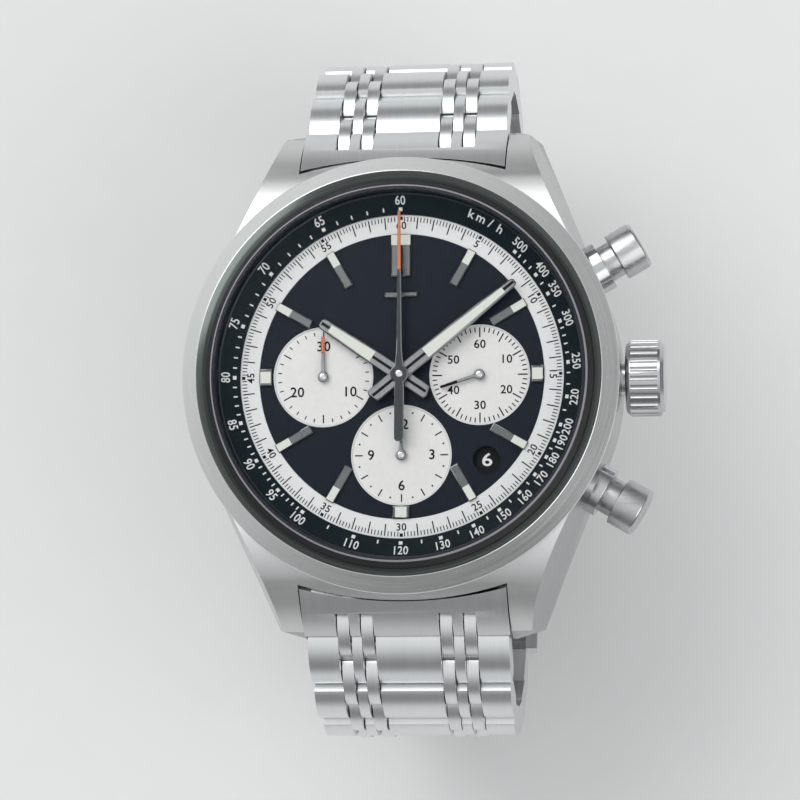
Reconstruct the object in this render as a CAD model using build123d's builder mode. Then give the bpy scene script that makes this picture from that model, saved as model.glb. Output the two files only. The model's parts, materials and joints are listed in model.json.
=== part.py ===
from build123d import *
import math
import os

# Chronograph wristwatch. Millimetres. The origin is the centre of the case back's outer face,
# +Z runs out through the dial, +Y to 12 o'clock and +X to the crown.

# ---- driving dimensions ----
# case
CASE_R = 21.0
CASE_LOW = 1.4
CASE_TOP = 11.2
BORE_R = 18.0
LUG_WIDTH = 20.2
LUG_TIP = (13.0, 24.0)
LUG_INNER = (10.0, 24.9)
LUG_LOW = 0.3
LUG_TIP_TOP = 3.4
LUG_SLOPE_START = 14.0
FLANK_FACET = 0.2
FACET_TIP = 0.45
END_ARC_MID = 21.5
END_ARC_SIDE = 20.0
LUG_BAR_AT = (22.4, 2.6)
LUG_BAR_HALF = 11.1
LUG_BAR_R = 0.4
LUG_BAR_PLAY = 0.05
LUG_FOOT = 3.0
LUG_UNDERCUT = 5.9
GAP = 0.1

# bezel, crystal and dial
BEZEL_RIM_R = 21.1
BEZEL_CREST_R = 19.5
BEZEL_IN_R = 18.65
BEZEL_CREST = 13.0
BEZEL_RIM_HEIGHT = 0.25
BEZEL_BEVEL = 0.7
CRYSTAL_R = 18.15
CRYSTAL_LOW = 12.4
CRYSTAL_EDGE = 13.2
CRYSTAL_TOP = 14.6
CRYSTAL_BEVEL = (0.45, 0.3)
GASKET_TOP = 12.5
FLANGE_TOP = 12.3
FLANGE_IN_R = 15.7
FLANGE_LINE_R = 17.6
FLANGE_LIFT = 0.35
DIAL_LOW = 9.5
DIAL_TOP = 9.9
DIAL_R = 17.5
SUBDIAL_R = 4.83
SUBDIAL_DEPTH = 0.15
MINUTE_COUNTER = (-7.58, 0)
SMALL_SECONDS = (7.58, 0)
HOUR_COUNTER = (0, -7.66)
DATE_R = 11.6
DATE_ANGLE = -45
DATE_WINDOW_R = 1.3
DATE_DISC = (13.5, 9.9, 9.0, 9.25)
CENTRE_HOLE_R = 1.0
COUNTER_HOLE_R = 0.4
BAR_SIZE = (3.8, 0.85)
BAR_AT = 12.0
BLOCK_SIZE = (1.13, 1.66)
BLOCK_AT = 13.17
TWIN_SIZE = (0.8, 4.05)
TWIN_AT = (0.55, 11.68)
EMBLEM_SIZE = (3.2, 0.5)
EMBLEM_AT = 7.9

# hands: length, tail, width, underside height, bearing clockwise from 12
HOUR_HAND = (9.3, 3.3, 1.15, 10.75, 304)
MINUTE_HAND = (14.2, 3.6, 1.15, 11.15, 51.5)
SWEEP_HAND = (15.8, 6.5, 0.42, 11.55, 0)
SMALL_HAND = (3.95, 1.2, 0.34, 10.15, 252.4)
MINUTE_COUNTER_HAND = (3.9, 1.2, 0.34, 10.15, 0)
HOUR_COUNTER_HAND = (3.5, 1.2, 0.34, 10.15, 0)
HAND_THICK = 0.25
FIT = 0.04

# crown and pushers
STEM_Z = 5.1
CROWN_START = 21.4
CROWN_END = 24.75
CROWN_DOME = 0.35
CROWN_R = 3.68
CROWN_FLUTES = 26
PUSHER_ANGLES = {"start": 30, "reset": -30}
PUSHER_CAP_R = 2.38
PUSHER_NECK_R = 1.82
PUSHER_COLLAR = (20.9, 22.3)
PUSHER_CAP = (23.7, 26.35)
PUSHER_COLLAR_R = 2.45
PUSHER_SHOULDER = 21.4
PUSHER_STEM_END = 16.2
PUSHER_STEM_R = 0.7
PUSHER_CHAMFER = 0.22
TUBE_START = 18.1
CROWN_TUBE_R = 1.7
PUSHER_TUBE_R = 2.2
TUBE_FLOOR = (2.0, 0.5)
STEM_R = 0.5
STEM_START = 11.5
STEM_GRIP = 2.2
CROWN_RECESS = (1.95, 2.2)
CROWN_CHAMFER = 0.4
FLUTE_R = 0.27
FLUTE_MARGIN = 0.5
SPRING_R = (0.95, 1.5)
SPRING_START = 18.75
SPRING_PITCH = 0.52
SPRING_WIRE = 0.3
SPRING_TURNS = 5

# movement
MOVEMENT_R = 15.0
PLATE_Z = (6.9, 8.8)
BRIDGE_Z = (3.5, 4.5)
ROTOR_Z = (1.95, 3.2)
THIRD_AXIS = (4.84, -1.76)
ESCAPE_AXIS = (8.79, -3.34)
PALLET_AXIS = (7.0, -6.6)
BALANCE_AXIS = (3.9, -10.4)
BARREL_AXIS = (-3.6, 5.1)
COLUMN_AXIS = (6.5, 8.2)
RING_LOW = 3.0
POST_CIRCLE = 13.9
POST_COUNT = 5
POST_R = 0.9
POST_START = 54
SCREW_R = 0.75
SCREW_HEAD = 0.22
SCREW_SLOT = (1.7, 0.16)
COCK_R = 1.1
COCK_ARM = (2.0, 3.0)
COCK_NOTCH = (4.2, 6.0)
BALANCE_Z = (5.0, 5.45)
BALANCE_RIM = 0.6
HAIRSPRING_Z = (4.65, 4.8)
HAIRSPRING_TURN = (0.82, 0.9, 0.35)
ROTOR_WEIGHT = 3.2
ROTOR_PLATE = (2.6, 3.0)
ROTOR_HOLES = ((-6, -6), (6, -6), (0, -7.5))
ROTOR_HOLE_R = 2.0
ROTOR_HUB_R = 2.2
ROTOR_GAP = 0.6

# bracelet: side section of a link about its first pin, then widths across
PITCH = 5.7
ROW_NEAR = 1.4
ROW_FAR = 4.2
ROW_EDGE = 0.7
ROW_CROWN = 1.6
PIN_STEP = 2.8
PIN_R = 0.42
CONNECTOR_END = 1.2
CONNECTOR_WIDTH = 1.15
CENTRE_HALF = 3.15
SLOT = 1.33
THIN = 1.0
OUTER = 3.0
TAPER = 0.08
CHAIN_START = (25.4, 3.4)
END_LINK_DROP = 30
HEADINGS = (38, 64, 88, 104, 120, 136, 150)
UPPER_LINKS = 7
LOWER_LINKS = 6

# clasp
CLASP_SAG = 5.0
BLADE_HALF = 5.5
COVER_HALF = 9.65
COVER_WALL = 0.9
COVER_PLATE = (2.4, 3.4)
# the bar that ties the cover to the upper strand, pressed short so that it clears the cover's ears
ADJUSTING_BAR_HALF = 8.6

os.makedirs("parts", exist_ok=True)


def save(builder, label):
    """Label a finished piece and write its own STEP file."""
    builder.part.label = label
    export_step(builder.part, f"parts/{label}.step")


def ring_part(outer, inner, low, high):
    """Make a flat ring about Z, or a disc where inner is 0."""
    with BuildPart() as ring:
        with BuildSketch(Plane.XY.offset(low)):
            Circle(outer)
            if inner:
                Circle(inner, mode=Mode.SUBTRACT)
        extrude(amount=high - low)
    return ring


def revolved_part(outline):
    """Turn an (r, z) outline into a solid about Z."""
    with BuildPart() as turned:
        with BuildSketch(Plane.XZ):
            with BuildLine():
                Polyline(*outline, close=True)
            make_face()
        revolve(axis=Axis.Z)
    return turned


def radial_plane(angle, distance, height=STEM_Z):
    """A plane square to a ray from the Z axis, facing outwards."""
    a = math.radians(angle)
    direction = (math.cos(a), math.sin(a), 0)
    origin = (distance * direction[0], distance * direction[1], height)
    return Plane(origin=origin, x_dir=(-direction[1], direction[0], 0), z_dir=direction)


# ---- case middle ----
def tangent_points():
    """The point where a flank leaves the round case, for the tip in the first quadrant."""
    reach = math.hypot(*LUG_TIP)
    bearing = math.atan2(LUG_TIP[1], LUG_TIP[0]) - math.acos(CASE_R / reach)
    return CASE_R * math.cos(bearing), CASE_R * math.sin(bearing)


FLANK_X, FLANK_Y = tangent_points()
SIDE_SPAN = 60
lug_run = LUG_INNER[1] - LUG_SLOPE_START
lug_fall = CASE_TOP - LUG_TIP_TOP
lug_arc_r = (lug_run**2 + lug_fall**2) / (2 * lug_fall)


def lug_top(y):
    """Height of the arched lug top at a distance y from the crown axis."""
    run = max(0.0, abs(y) - LUG_SLOPE_START)
    return CASE_TOP - lug_arc_r + math.sqrt(lug_arc_r**2 - run**2)


with BuildPart() as case_middle:
    with BuildSketch(Plane.XY.offset(LUG_LOW)):
        with BuildLine():
            for sx, sy in ((1, 1), (-1, -1)):
                Line((sx * FLANK_X, sy * FLANK_Y), (sx * LUG_TIP[0], sy * LUG_TIP[1]))
                Line((sx * LUG_TIP[0], sy * LUG_TIP[1]), (sx * LUG_INNER[0], sy * LUG_INNER[1]))
                Line((sx * LUG_INNER[0], sy * LUG_INNER[1]), (-sx * LUG_INNER[0], sy * LUG_INNER[1]))
                Line((-sx * LUG_INNER[0], sy * LUG_INNER[1]), (-sx * LUG_TIP[0], sy * LUG_TIP[1]))
                Line((-sx * LUG_TIP[0], sy * LUG_TIP[1]), (-sx * FLANK_X, sy * FLANK_Y))
                ThreePointArc((sx * FLANK_X, -sy * FLANK_Y), (sx * CASE_R, 0), (sx * FLANK_X, sy * FLANK_Y))
        make_face()
    extrude(amount=CASE_TOP - LUG_LOW)
    # side view: flat top and arched lugs, flat underside raised between the lugs
    with BuildSketch(Plane.YZ.offset(-SIDE_SPAN / 2)):
        with BuildLine():
            tip = LUG_INNER[1]
            mid = (LUG_SLOPE_START + tip) / 2
            Line((-LUG_SLOPE_START, CASE_TOP), (LUG_SLOPE_START, CASE_TOP))
            ThreePointArc((LUG_SLOPE_START, CASE_TOP), (mid, lug_top(mid)), (tip, LUG_TIP_TOP))
            Line((tip, LUG_TIP_TOP), (tip, LUG_LOW))
            Line((tip, LUG_LOW), (tip - LUG_FOOT, LUG_LOW))
            Line((tip - LUG_FOOT, LUG_LOW), (tip - LUG_UNDERCUT, CASE_LOW))
            Line((tip - LUG_UNDERCUT, CASE_LOW), (LUG_UNDERCUT - tip, CASE_LOW))
            Line((LUG_UNDERCUT - tip, CASE_LOW), (LUG_FOOT - tip, LUG_LOW))
            Line((LUG_FOOT - tip, LUG_LOW), (-tip, LUG_LOW))
            Line((-tip, LUG_LOW), (-tip, LUG_TIP_TOP))
            ThreePointArc((-tip, LUG_TIP_TOP), (-mid, lug_top(mid)), (-LUG_SLOPE_START, CASE_TOP))
        make_face()
    extrude(amount=SIDE_SPAN, mode=Mode.INTERSECT)
    # facet along each flank, widest beside the bezel and narrow at the lug's tip
    for sx in (-1, 1):
        for sy in (-1, 1):
            flank = Vector(LUG_TIP[0] - FLANK_X, LUG_TIP[1] - FLANK_Y, LUG_TIP_TOP - CASE_TOP)
            across = Vector(-FLANK_FACET, 0, 1.0)
            normal = flank.cross(across)
            if normal.Z < 0:
                normal = normal * -1
            corner = Vector(LUG_TIP[0] - FACET_TIP, LUG_TIP[1], LUG_TIP_TOP)
            facet = Plane(
                origin=(sx * corner.X, sy * corner.Y, corner.Z),
                z_dir=(sx * normal.X, sy * normal.Y, normal.Z),
            )
            split(bisect_by=facet, keep=Keep.BOTTOM)
    # gaps for the two end links
    with BuildSketch(Plane.XY.offset(-1)):
        for sy in (-1, 1):
            with BuildLine():
                half = LUG_WIDTH / 2
                ThreePointArc((-half, sy * END_ARC_SIDE), (0, sy * END_ARC_MID), (half, sy * END_ARC_SIDE))
                Line((half, sy * END_ARC_SIDE), (half, sy * 26))
                Line((half, sy * 26), (-half, sy * 26))
                Line((-half, sy * 26), (-half, sy * END_ARC_SIDE))
            make_face()
    extrude(amount=14, mode=Mode.SUBTRACT)
    # stepped bore for the movement, case back and bezel neck
    with BuildSketch(Plane.XY):
        Circle(BORE_R)
    extrude(amount=14, mode=Mode.SUBTRACT)
    # holes for the crown tube and the two pusher tubes
    for angle, radius in [(0, CROWN_TUBE_R)] + [(a, PUSHER_TUBE_R) for a in PUSHER_ANGLES.values()]:
        with BuildSketch(radial_plane(angle, MOVEMENT_R)):
            Circle(radius)
        extrude(amount=10, mode=Mode.SUBTRACT)
    # flats where the pusher collars stand against the case
    for angle in PUSHER_ANGLES.values():
        with BuildSketch(radial_plane(angle, PUSHER_COLLAR[0])):
            Circle(PUSHER_COLLAR_R)
        extrude(amount=CASE_R, mode=Mode.SUBTRACT)
    # blind holes for the spring bars
    for sy in (-1, 1):
        with BuildSketch(Plane.YZ.offset(-LUG_BAR_HALF - GAP)):
            with Locations((sy * LUG_BAR_AT[0], LUG_BAR_AT[1])):
                Circle(LUG_BAR_R + LUG_BAR_PLAY)
        extrude(amount=2 * (LUG_BAR_HALF + GAP), mode=Mode.SUBTRACT)
save(case_middle, "case_middle")

# ---- bezel, crystal, gaskets, flange and dial ----
bezel = revolved_part(
    [
        (BEZEL_IN_R, CASE_TOP),
        (BEZEL_RIM_R, CASE_TOP),
        (BEZEL_RIM_R, CASE_TOP + BEZEL_RIM_HEIGHT),
        (BEZEL_CREST_R, BEZEL_CREST),
        (BEZEL_IN_R, BEZEL_CREST - BEZEL_BEVEL),
    ]
)
save(bezel, "bezel")

with BuildPart() as crystal:
    with BuildSketch(Plane.XZ):
        with BuildLine():
            Line((0, CRYSTAL_LOW), (CRYSTAL_R, CRYSTAL_LOW))
            Line((CRYSTAL_R, CRYSTAL_LOW), (CRYSTAL_R, CRYSTAL_EDGE - CRYSTAL_BEVEL[1]))
            Line((CRYSTAL_R, CRYSTAL_EDGE - CRYSTAL_BEVEL[1]), (CRYSTAL_R - CRYSTAL_BEVEL[0], CRYSTAL_EDGE))
            dome_end = (CRYSTAL_R - CRYSTAL_BEVEL[0], CRYSTAL_EDGE)
            rise = CRYSTAL_TOP - CRYSTAL_EDGE
            RadiusArc(dome_end, (0, CRYSTAL_TOP), -(dome_end[0] ** 2 + rise**2) / (2 * rise))
            Line((0, CRYSTAL_TOP), (0, CRYSTAL_LOW))
        make_face()
    revolve(axis=Axis.Z)
save(crystal, "crystal")

save(ring_part(BEZEL_IN_R, CRYSTAL_R, CASE_TOP, GASKET_TOP), "crystal_gasket")

tachymeter_ring = revolved_part(
    [
        (FLANGE_IN_R, DIAL_TOP),
        (BORE_R, DIAL_TOP),
        (BORE_R, FLANGE_TOP),
        (FLANGE_LINE_R, FLANGE_TOP),
        (FLANGE_LINE_R, CASE_TOP),
        (FLANGE_IN_R, DIAL_TOP + FLANGE_LIFT),
    ]
)
save(tachymeter_ring, "tachymeter_ring")

date_spot = (
    DATE_R * math.cos(math.radians(DATE_ANGLE)),
    DATE_R * math.sin(math.radians(DATE_ANGLE)),
)
with BuildPart() as dial:
    with BuildSketch(Plane.XY.offset(DIAL_LOW)):
        Circle(DIAL_R)
        Circle(CENTRE_HOLE_R, mode=Mode.SUBTRACT)
        with Locations(MINUTE_COUNTER, SMALL_SECONDS, HOUR_COUNTER):
            Circle(COUNTER_HOLE_R, mode=Mode.SUBTRACT)
        with Locations(date_spot):
            Circle(DATE_WINDOW_R, mode=Mode.SUBTRACT)
    extrude(amount=DIAL_TOP - DIAL_LOW)
    with BuildSketch(Plane.XY.offset(DIAL_TOP - SUBDIAL_DEPTH)):
        with Locations(MINUTE_COUNTER, SMALL_SECONDS, HOUR_COUNTER):
            Circle(SUBDIAL_R)
            Circle(COUNTER_HOLE_R, mode=Mode.SUBTRACT)
    extrude(amount=SUBDIAL_DEPTH, mode=Mode.SUBTRACT)
save(dial, "dial")

MARKER_TOP = 0.4
with BuildPart() as hour_markers:
    with BuildSketch(Plane.XY.offset(DIAL_TOP)):
        for hour in (1, 2, 4, 5, 7, 8, 10, 11):
            with PolarLocations(BAR_AT, 1, start_angle=90 - 30 * hour):
                Rectangle(*BAR_SIZE)
        for hour in (3, 6, 9):
            with PolarLocations(BLOCK_AT, 1, start_angle=90 - 30 * hour):
                Rectangle(*BLOCK_SIZE)
        with Locations((-TWIN_AT[0], TWIN_AT[1]), TWIN_AT):
            Rectangle(*TWIN_SIZE)
        with Locations((0, EMBLEM_AT)):
            Rectangle(*EMBLEM_SIZE)
    extrude(amount=MARKER_TOP)
save(hour_markers, "hour_markers")

date_disc = ring_part(*DATE_DISC)
save(date_disc, "date_disc")


# ---- hands ----
def hand_part(spec, hub_r, arbor_r, arbor_low, hole_r=0.0, tube=True):
    """Make a hand with its hub and arbor; the arbor reaches down to arbor_low."""
    length, tail, width, low, bearing = spec
    with BuildPart() as hand:
        with BuildSketch(Plane.XY.offset(low)):
            with BuildLine():
                half = width / 2
                Polyline(
                    (-half * 0.8, -tail),
                    (half * 0.8, -tail),
                    (half, length * 0.55),
                    (half * 0.45, length),
                    (-half * 0.45, length),
                    (-half, length * 0.55),
                    close=True,
                )
            make_face()
            Circle(hub_r)
        extrude(amount=HAND_THICK)
        if tube:
            with BuildSketch(Plane.XY.offset(arbor_low)):
                Circle(arbor_r)
            extrude(amount=low - arbor_low)
        if hole_r:
            with BuildSketch(Plane.XY.offset(arbor_low)):
                Circle(hole_r)
            extrude(amount=low + HAND_THICK - arbor_low, mode=Mode.SUBTRACT)
    return hand


def placed(builder, x, y, bearing):
    """Turn a piece clockwise by its bearing and carry it to its axis."""
    with BuildPart() as moved:
        add(builder.part.rotate(Axis.Z, -bearing).moved(Location((x, y, 0))))
    return moved


SWEEP_ARBOR_R = 0.3
HOUR_HUB_R = 1.25
MINUTE_HUB_R = 1.05
SWEEP_HUB_R = 0.88
SMALL_HUB_R = 0.55
SMALL_ARBOR_R = 0.3
ARBOR_CLEAR = 0.1
CANNON_R = 0.58
HOUR_TUBE_R = 0.86
ARBOR_LOW = BRIDGE_Z[0] + 0.1

save(
    placed(
        hand_part(HOUR_HAND, HOUR_HUB_R, HOUR_TUBE_R, PLATE_Z[1] + 2 * ARBOR_CLEAR, CANNON_R + FIT),
        0,
        0,
        HOUR_HAND[4],
    ),
    "hour_hand",
)
save(
    placed(
        hand_part(MINUTE_HAND, MINUTE_HUB_R, CANNON_R, PLATE_Z[1] + ARBOR_CLEAR, SWEEP_ARBOR_R + FIT),
        0,
        0,
        MINUTE_HAND[4],
    ),
    "minute_hand",
)
save(
    placed(hand_part(SWEEP_HAND, SWEEP_HUB_R, SWEEP_ARBOR_R, ARBOR_LOW), 0, 0, 0),
    "chronograph_seconds_hand",
)
save(
    placed(
        hand_part(SMALL_HAND, SMALL_HUB_R, SMALL_ARBOR_R, PLATE_Z[1] + ARBOR_CLEAR),
        *SMALL_SECONDS,
        SMALL_HAND[4],
    ),
    "small_seconds_hand",
)
save(
    placed(hand_part(MINUTE_COUNTER_HAND, SMALL_HUB_R, SMALL_ARBOR_R, PLATE_Z[0] + 0.3), *MINUTE_COUNTER, 0),
    "minute_counter_hand",
)
save(
    placed(hand_part(HOUR_COUNTER_HAND, SMALL_HUB_R, SMALL_ARBOR_R, PLATE_Z[0] + 0.3), *HOUR_COUNTER, 0),
    "hour_counter_hand",
)

# ---- case back ----
BACK_R = 18.8
BACK_PLATE = CASE_LOW - 0.3
WINDOW_R = 13.0
KEY_NOTCHES = 6
KEY_NOTCH_R = 1.1
BACK_LIP = 1.3
BACK_LIP_IN_R = WINDOW_R + 1.8
with BuildPart() as case_back:
    with BuildSketch(Plane.XY):
        Circle(BACK_R)
        Circle(WINDOW_R, mode=Mode.SUBTRACT)
        with PolarLocations(BACK_R, KEY_NOTCHES, start_angle=30):
            Circle(KEY_NOTCH_R, mode=Mode.SUBTRACT)
    extrude(amount=BACK_PLATE)
    with BuildSketch(Plane.XY.offset(BACK_PLATE)):
        Circle(BORE_R - 0.05)
        Circle(BACK_LIP_IN_R, mode=Mode.SUBTRACT)
    extrude(amount=BACK_LIP)
save(case_back, "case_back")
save(ring_part(WINDOW_R, 0, 0, BACK_PLATE), "case_back_window")
save(ring_part(BACK_R - 0.1, BORE_R + 0.1, BACK_PLATE, CASE_LOW), "case_back_gasket")

# ---- crown, stem and tubes ----
with BuildPart() as crown:
    with BuildSketch(Plane.YZ.offset(CROWN_START)):
        with Locations((0, STEM_Z)):
            Circle(CROWN_R)
    extrude(amount=CROWN_END - CROWN_START)
    with BuildSketch(Plane.YZ.offset(CROWN_END)):
        with Locations((0, STEM_Z)):
            Circle(CROWN_R - 0.25)
    extrude(amount=CROWN_DOME, taper=30)
    chamfer(crown.edges().group_by(Axis.X)[0], CROWN_CHAMFER)
    # flutes along the grip
    with BuildSketch(Plane.YZ.offset(CROWN_START + FLUTE_MARGIN)):
        with Locations((0, STEM_Z)):
            with PolarLocations(CROWN_R + 0.08, CROWN_FLUTES):
                Circle(FLUTE_R)
    extrude(amount=CROWN_END - CROWN_START - 1.5 * FLUTE_MARGIN, mode=Mode.SUBTRACT)
    # recess over the crown tube
    with BuildSketch(Plane.YZ.offset(CROWN_START - 1)):
        with Locations((0, STEM_Z)):
            Circle(CROWN_RECESS[0])
    extrude(amount=CROWN_RECESS[1] + 1, mode=Mode.SUBTRACT)
save(crown, "crown")

with BuildPart() as winding_stem:
    with BuildSketch(Plane.YZ.offset(STEM_START)):
        with Locations((0, STEM_Z)):
            Circle(STEM_R)
    extrude(amount=CROWN_START + STEM_GRIP - STEM_START)
save(winding_stem, "winding_stem")

with BuildPart() as tubes:
    with BuildSketch(radial_plane(0, TUBE_START)):
        Circle(CROWN_TUBE_R)
        Circle(STEM_R + FIT, mode=Mode.SUBTRACT)
    extrude(amount=CROWN_START + FLUTE_MARGIN + GAP - TUBE_START)
    for angle in PUSHER_ANGLES.values():
        with BuildSketch(radial_plane(angle, TUBE_START)):
            Circle(PUSHER_TUBE_R)
            Circle(PUSHER_NECK_R + FIT, mode=Mode.SUBTRACT)
        extrude(amount=PUSHER_COLLAR[1] - TUBE_START)
        with BuildSketch(radial_plane(angle, PUSHER_COLLAR[0])):
            Circle(PUSHER_COLLAR_R)
            Circle(PUSHER_NECK_R + FIT, mode=Mode.SUBTRACT)
        extrude(amount=PUSHER_COLLAR[1] - PUSHER_COLLAR[0])
        with BuildSketch(radial_plane(angle, TUBE_START)):
            Circle(TUBE_FLOOR[0])
            Circle(PUSHER_STEM_R + FIT, mode=Mode.SUBTRACT)
        extrude(amount=TUBE_FLOOR[1])
save(tubes, "crown_and_pusher_tubes")

for label, angle in PUSHER_ANGLES.items():
    with BuildPart() as pusher:
        with BuildSketch(radial_plane(angle, PUSHER_CAP[0])):
            Circle(PUSHER_CAP_R)
        extrude(amount=PUSHER_CAP[1] - PUSHER_CAP[0])
        far_face = pusher.faces().sort_by(SortBy.DISTANCE)[-1]
        chamfer(far_face.edges(), PUSHER_CHAMFER)
        with BuildSketch(radial_plane(angle, PUSHER_SHOULDER)):
            Circle(PUSHER_NECK_R)
        extrude(amount=PUSHER_CAP[0] - PUSHER_SHOULDER)
        with BuildSketch(radial_plane(angle, PUSHER_STEM_END)):
            Circle(PUSHER_STEM_R)
        extrude(amount=PUSHER_SHOULDER - PUSHER_STEM_END)
    save(pusher, f"{label}_pusher")
    with BuildPart() as spring:
        for turn in range(SPRING_TURNS):
            with BuildSketch(radial_plane(angle, SPRING_START + SPRING_PITCH * turn)):
                Circle(SPRING_R[1])
                Circle(SPRING_R[0], mode=Mode.SUBTRACT)
            extrude(amount=SPRING_WIRE)
    save(spring, f"{label}_pusher_spring")

# ---- movement ----
with BuildPart() as movement_ring:
    with BuildSketch(Plane.XY.offset(RING_LOW)):
        Circle(BORE_R - 0.1)
        Circle(MOVEMENT_R + 0.05, mode=Mode.SUBTRACT)
    extrude(amount=DIAL_LOW - RING_LOW)
    for angle, radius in ((0, 1.5), (PUSHER_ANGLES["start"], 1.2), (PUSHER_ANGLES["reset"], 1.2)):
        with BuildSketch(radial_plane(angle, 12)):
            Circle(radius)
        extrude(amount=10, mode=Mode.SUBTRACT)
save(movement_ring, "movement_ring")

ARBOR_R = 0.3
arbor_spots = [THIRD_AXIS, SMALL_SECONDS, ESCAPE_AXIS, PALLET_AXIS, BARREL_AXIS, COLUMN_AXIS]
with BuildPart() as main_plate:
    with BuildSketch(Plane.XY.offset(PLATE_Z[0])):
        Circle(MOVEMENT_R)
        Circle(0.75, mode=Mode.SUBTRACT)
        with Locations(*arbor_spots, BALANCE_AXIS, MINUTE_COUNTER, HOUR_COUNTER):
            Circle(ARBOR_R + FIT, mode=Mode.SUBTRACT)
    extrude(amount=PLATE_Z[1] - PLATE_Z[0])
    with BuildSketch(Plane.XY.offset(BRIDGE_Z[1])):
        with PolarLocations(POST_CIRCLE, POST_COUNT, start_angle=POST_START):
            Circle(POST_R)
    extrude(amount=PLATE_Z[0] - BRIDGE_Z[1])
save(main_plate, "main_plate")

BALANCE_R = 3.7
with BuildPart() as train_bridge:
    with BuildSketch(Plane.XY.offset(BRIDGE_Z[0])):
        Circle(MOVEMENT_R - 0.1)
        Circle(ARBOR_R + FIT, mode=Mode.SUBTRACT)
        with Locations(*arbor_spots):
            Circle(ARBOR_R + FIT, mode=Mode.SUBTRACT)
        with Locations(BALANCE_AXIS):
            Circle(BALANCE_R + 0.4, mode=Mode.SUBTRACT)
        with Locations((BALANCE_AXIS[0], BALANCE_AXIS[1] - COCK_NOTCH[1] / 2)):
            Rectangle(*COCK_NOTCH, mode=Mode.SUBTRACT)
    extrude(amount=BRIDGE_Z[1] - BRIDGE_Z[0])
save(train_bridge, "train_bridge")

with BuildPart() as balance_cock:
    with BuildSketch(Plane.XY.offset(BRIDGE_Z[0])):
        with Locations(BALANCE_AXIS):
            Circle(COCK_R)
        with Locations((BALANCE_AXIS[0], BALANCE_AXIS[1] - COCK_ARM[1] / 2)):
            Rectangle(*COCK_ARM)
        with Locations(BALANCE_AXIS):
            Circle(ARBOR_R + FIT, mode=Mode.SUBTRACT)
    extrude(amount=BRIDGE_Z[1] - BRIDGE_Z[0])
save(balance_cock, "balance_cock")

with BuildPart() as bridge_screws:
    with BuildSketch(Plane.XY.offset(BRIDGE_Z[0] - SCREW_HEAD)):
        with PolarLocations(POST_CIRCLE, POST_COUNT, start_angle=POST_START):
            Circle(SCREW_R)
            Rectangle(*SCREW_SLOT, mode=Mode.SUBTRACT)
    extrude(amount=SCREW_HEAD)
save(bridge_screws, "bridge_screws")


def wheel_part(axis, radius, teeth, low, high, arbor, pinion=None, hole=0.0):
    """Make a toothed wheel with spokes on its arbor, and a pinion if it has one."""
    with BuildPart() as wheel:
        with BuildSketch(Plane.XY.offset(low)):
            with Locations(axis):
                Circle(radius - 0.3)
                with PolarLocations(radius - 0.2, teeth):
                    Rectangle(0.4, math.pi * radius / teeth * 0.85)
                if radius > 2:
                    with PolarLocations(radius * 0.5, 5):
                        Circle(radius * 0.22, mode=Mode.SUBTRACT)
        extrude(amount=high - low)
        if pinion:
            pinion_r, pinion_low, pinion_high = pinion
            with BuildSketch(Plane.XY.offset(pinion_low)):
                with Locations(axis):
                    Circle(pinion_r)
            extrude(amount=pinion_high - pinion_low)
        with BuildSketch(Plane.XY.offset(arbor[0])):
            with Locations(axis):
                Circle(arbor[2])
        extrude(amount=arbor[1] - arbor[0])
        if hole:
            with BuildSketch(Plane.XY.offset(arbor[0] - 1)):
                with Locations(axis):
                    Circle(hole)
            extrude(amount=20, mode=Mode.SUBTRACT)
    return wheel


# arbors: lower end, upper end, radius
ARBOR = (BRIDGE_Z[0] + ARBOR_CLEAR, PLATE_Z[1] - ARBOR_CLEAR, ARBOR_R)
CANNON_ARBOR = (BRIDGE_Z[1] + ARBOR_CLEAR, PLATE_Z[1] + ARBOR_CLEAR, CANNON_R)
SECONDS_ARBOR = (ARBOR[0], PLATE_Z[1] + ARBOR_CLEAR, ARBOR_R)
# wheels: radius, teeth, lower face, upper face
CENTRE_WHEEL = (4.2, 48, 6.2, 6.5)
THIRD_WHEEL = (2.5, 40, 5.4, 5.65)
FOURTH_WHEEL = (2.8, 40, 4.95, 5.15)
ESCAPE_WHEEL = (2.2, 20, 6.25, 6.4)
BARREL = (4.9, 56, 4.9, 6.0)
COLUMN_WHEEL = (1.9, 12, 4.9, 5.3)
# pinions: radius, lower face, upper face
THIRD_PINION = (0.85, 6.1, 6.6)
FOURTH_PINION = (0.65, 5.3, 5.75)
ESCAPE_PINION = (0.6, 4.9, 5.2)
save(
    wheel_part((0, 0), *CENTRE_WHEEL, CANNON_ARBOR, hole=SWEEP_ARBOR_R + FIT),
    "centre_wheel",
)
save(wheel_part(THIRD_AXIS, *THIRD_WHEEL, ARBOR, THIRD_PINION), "third_wheel")
save(
    wheel_part(SMALL_SECONDS, *FOURTH_WHEEL, SECONDS_ARBOR, FOURTH_PINION),
    "fourth_wheel",
)
save(wheel_part(ESCAPE_AXIS, *ESCAPE_WHEEL, ARBOR, ESCAPE_PINION), "escape_wheel")
save(wheel_part(BARREL_AXIS, *BARREL, ARBOR), "barrel")
save(wheel_part(COLUMN_AXIS, *COLUMN_WHEEL, ARBOR), "column_wheel")

with BuildPart() as pallet_fork:
    with BuildSketch(Plane.XY.offset(6.25)):
        with Locations(PALLET_AXIS):
            Circle(0.5)
            with Locations((-0.55, -0.65)):
                Rectangle(0.5, 1.7, rotation=-40)
            with Locations((-0.35, 0.5)):
                Rectangle(1.1, 0.4, rotation=20)
    extrude(amount=0.25)
    with BuildSketch(Plane.XY.offset(ARBOR[0])):
        with Locations(PALLET_AXIS):
            Circle(ARBOR_R)
    extrude(amount=ARBOR[1] - ARBOR[0])
save(pallet_fork, "pallet_fork")

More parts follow.
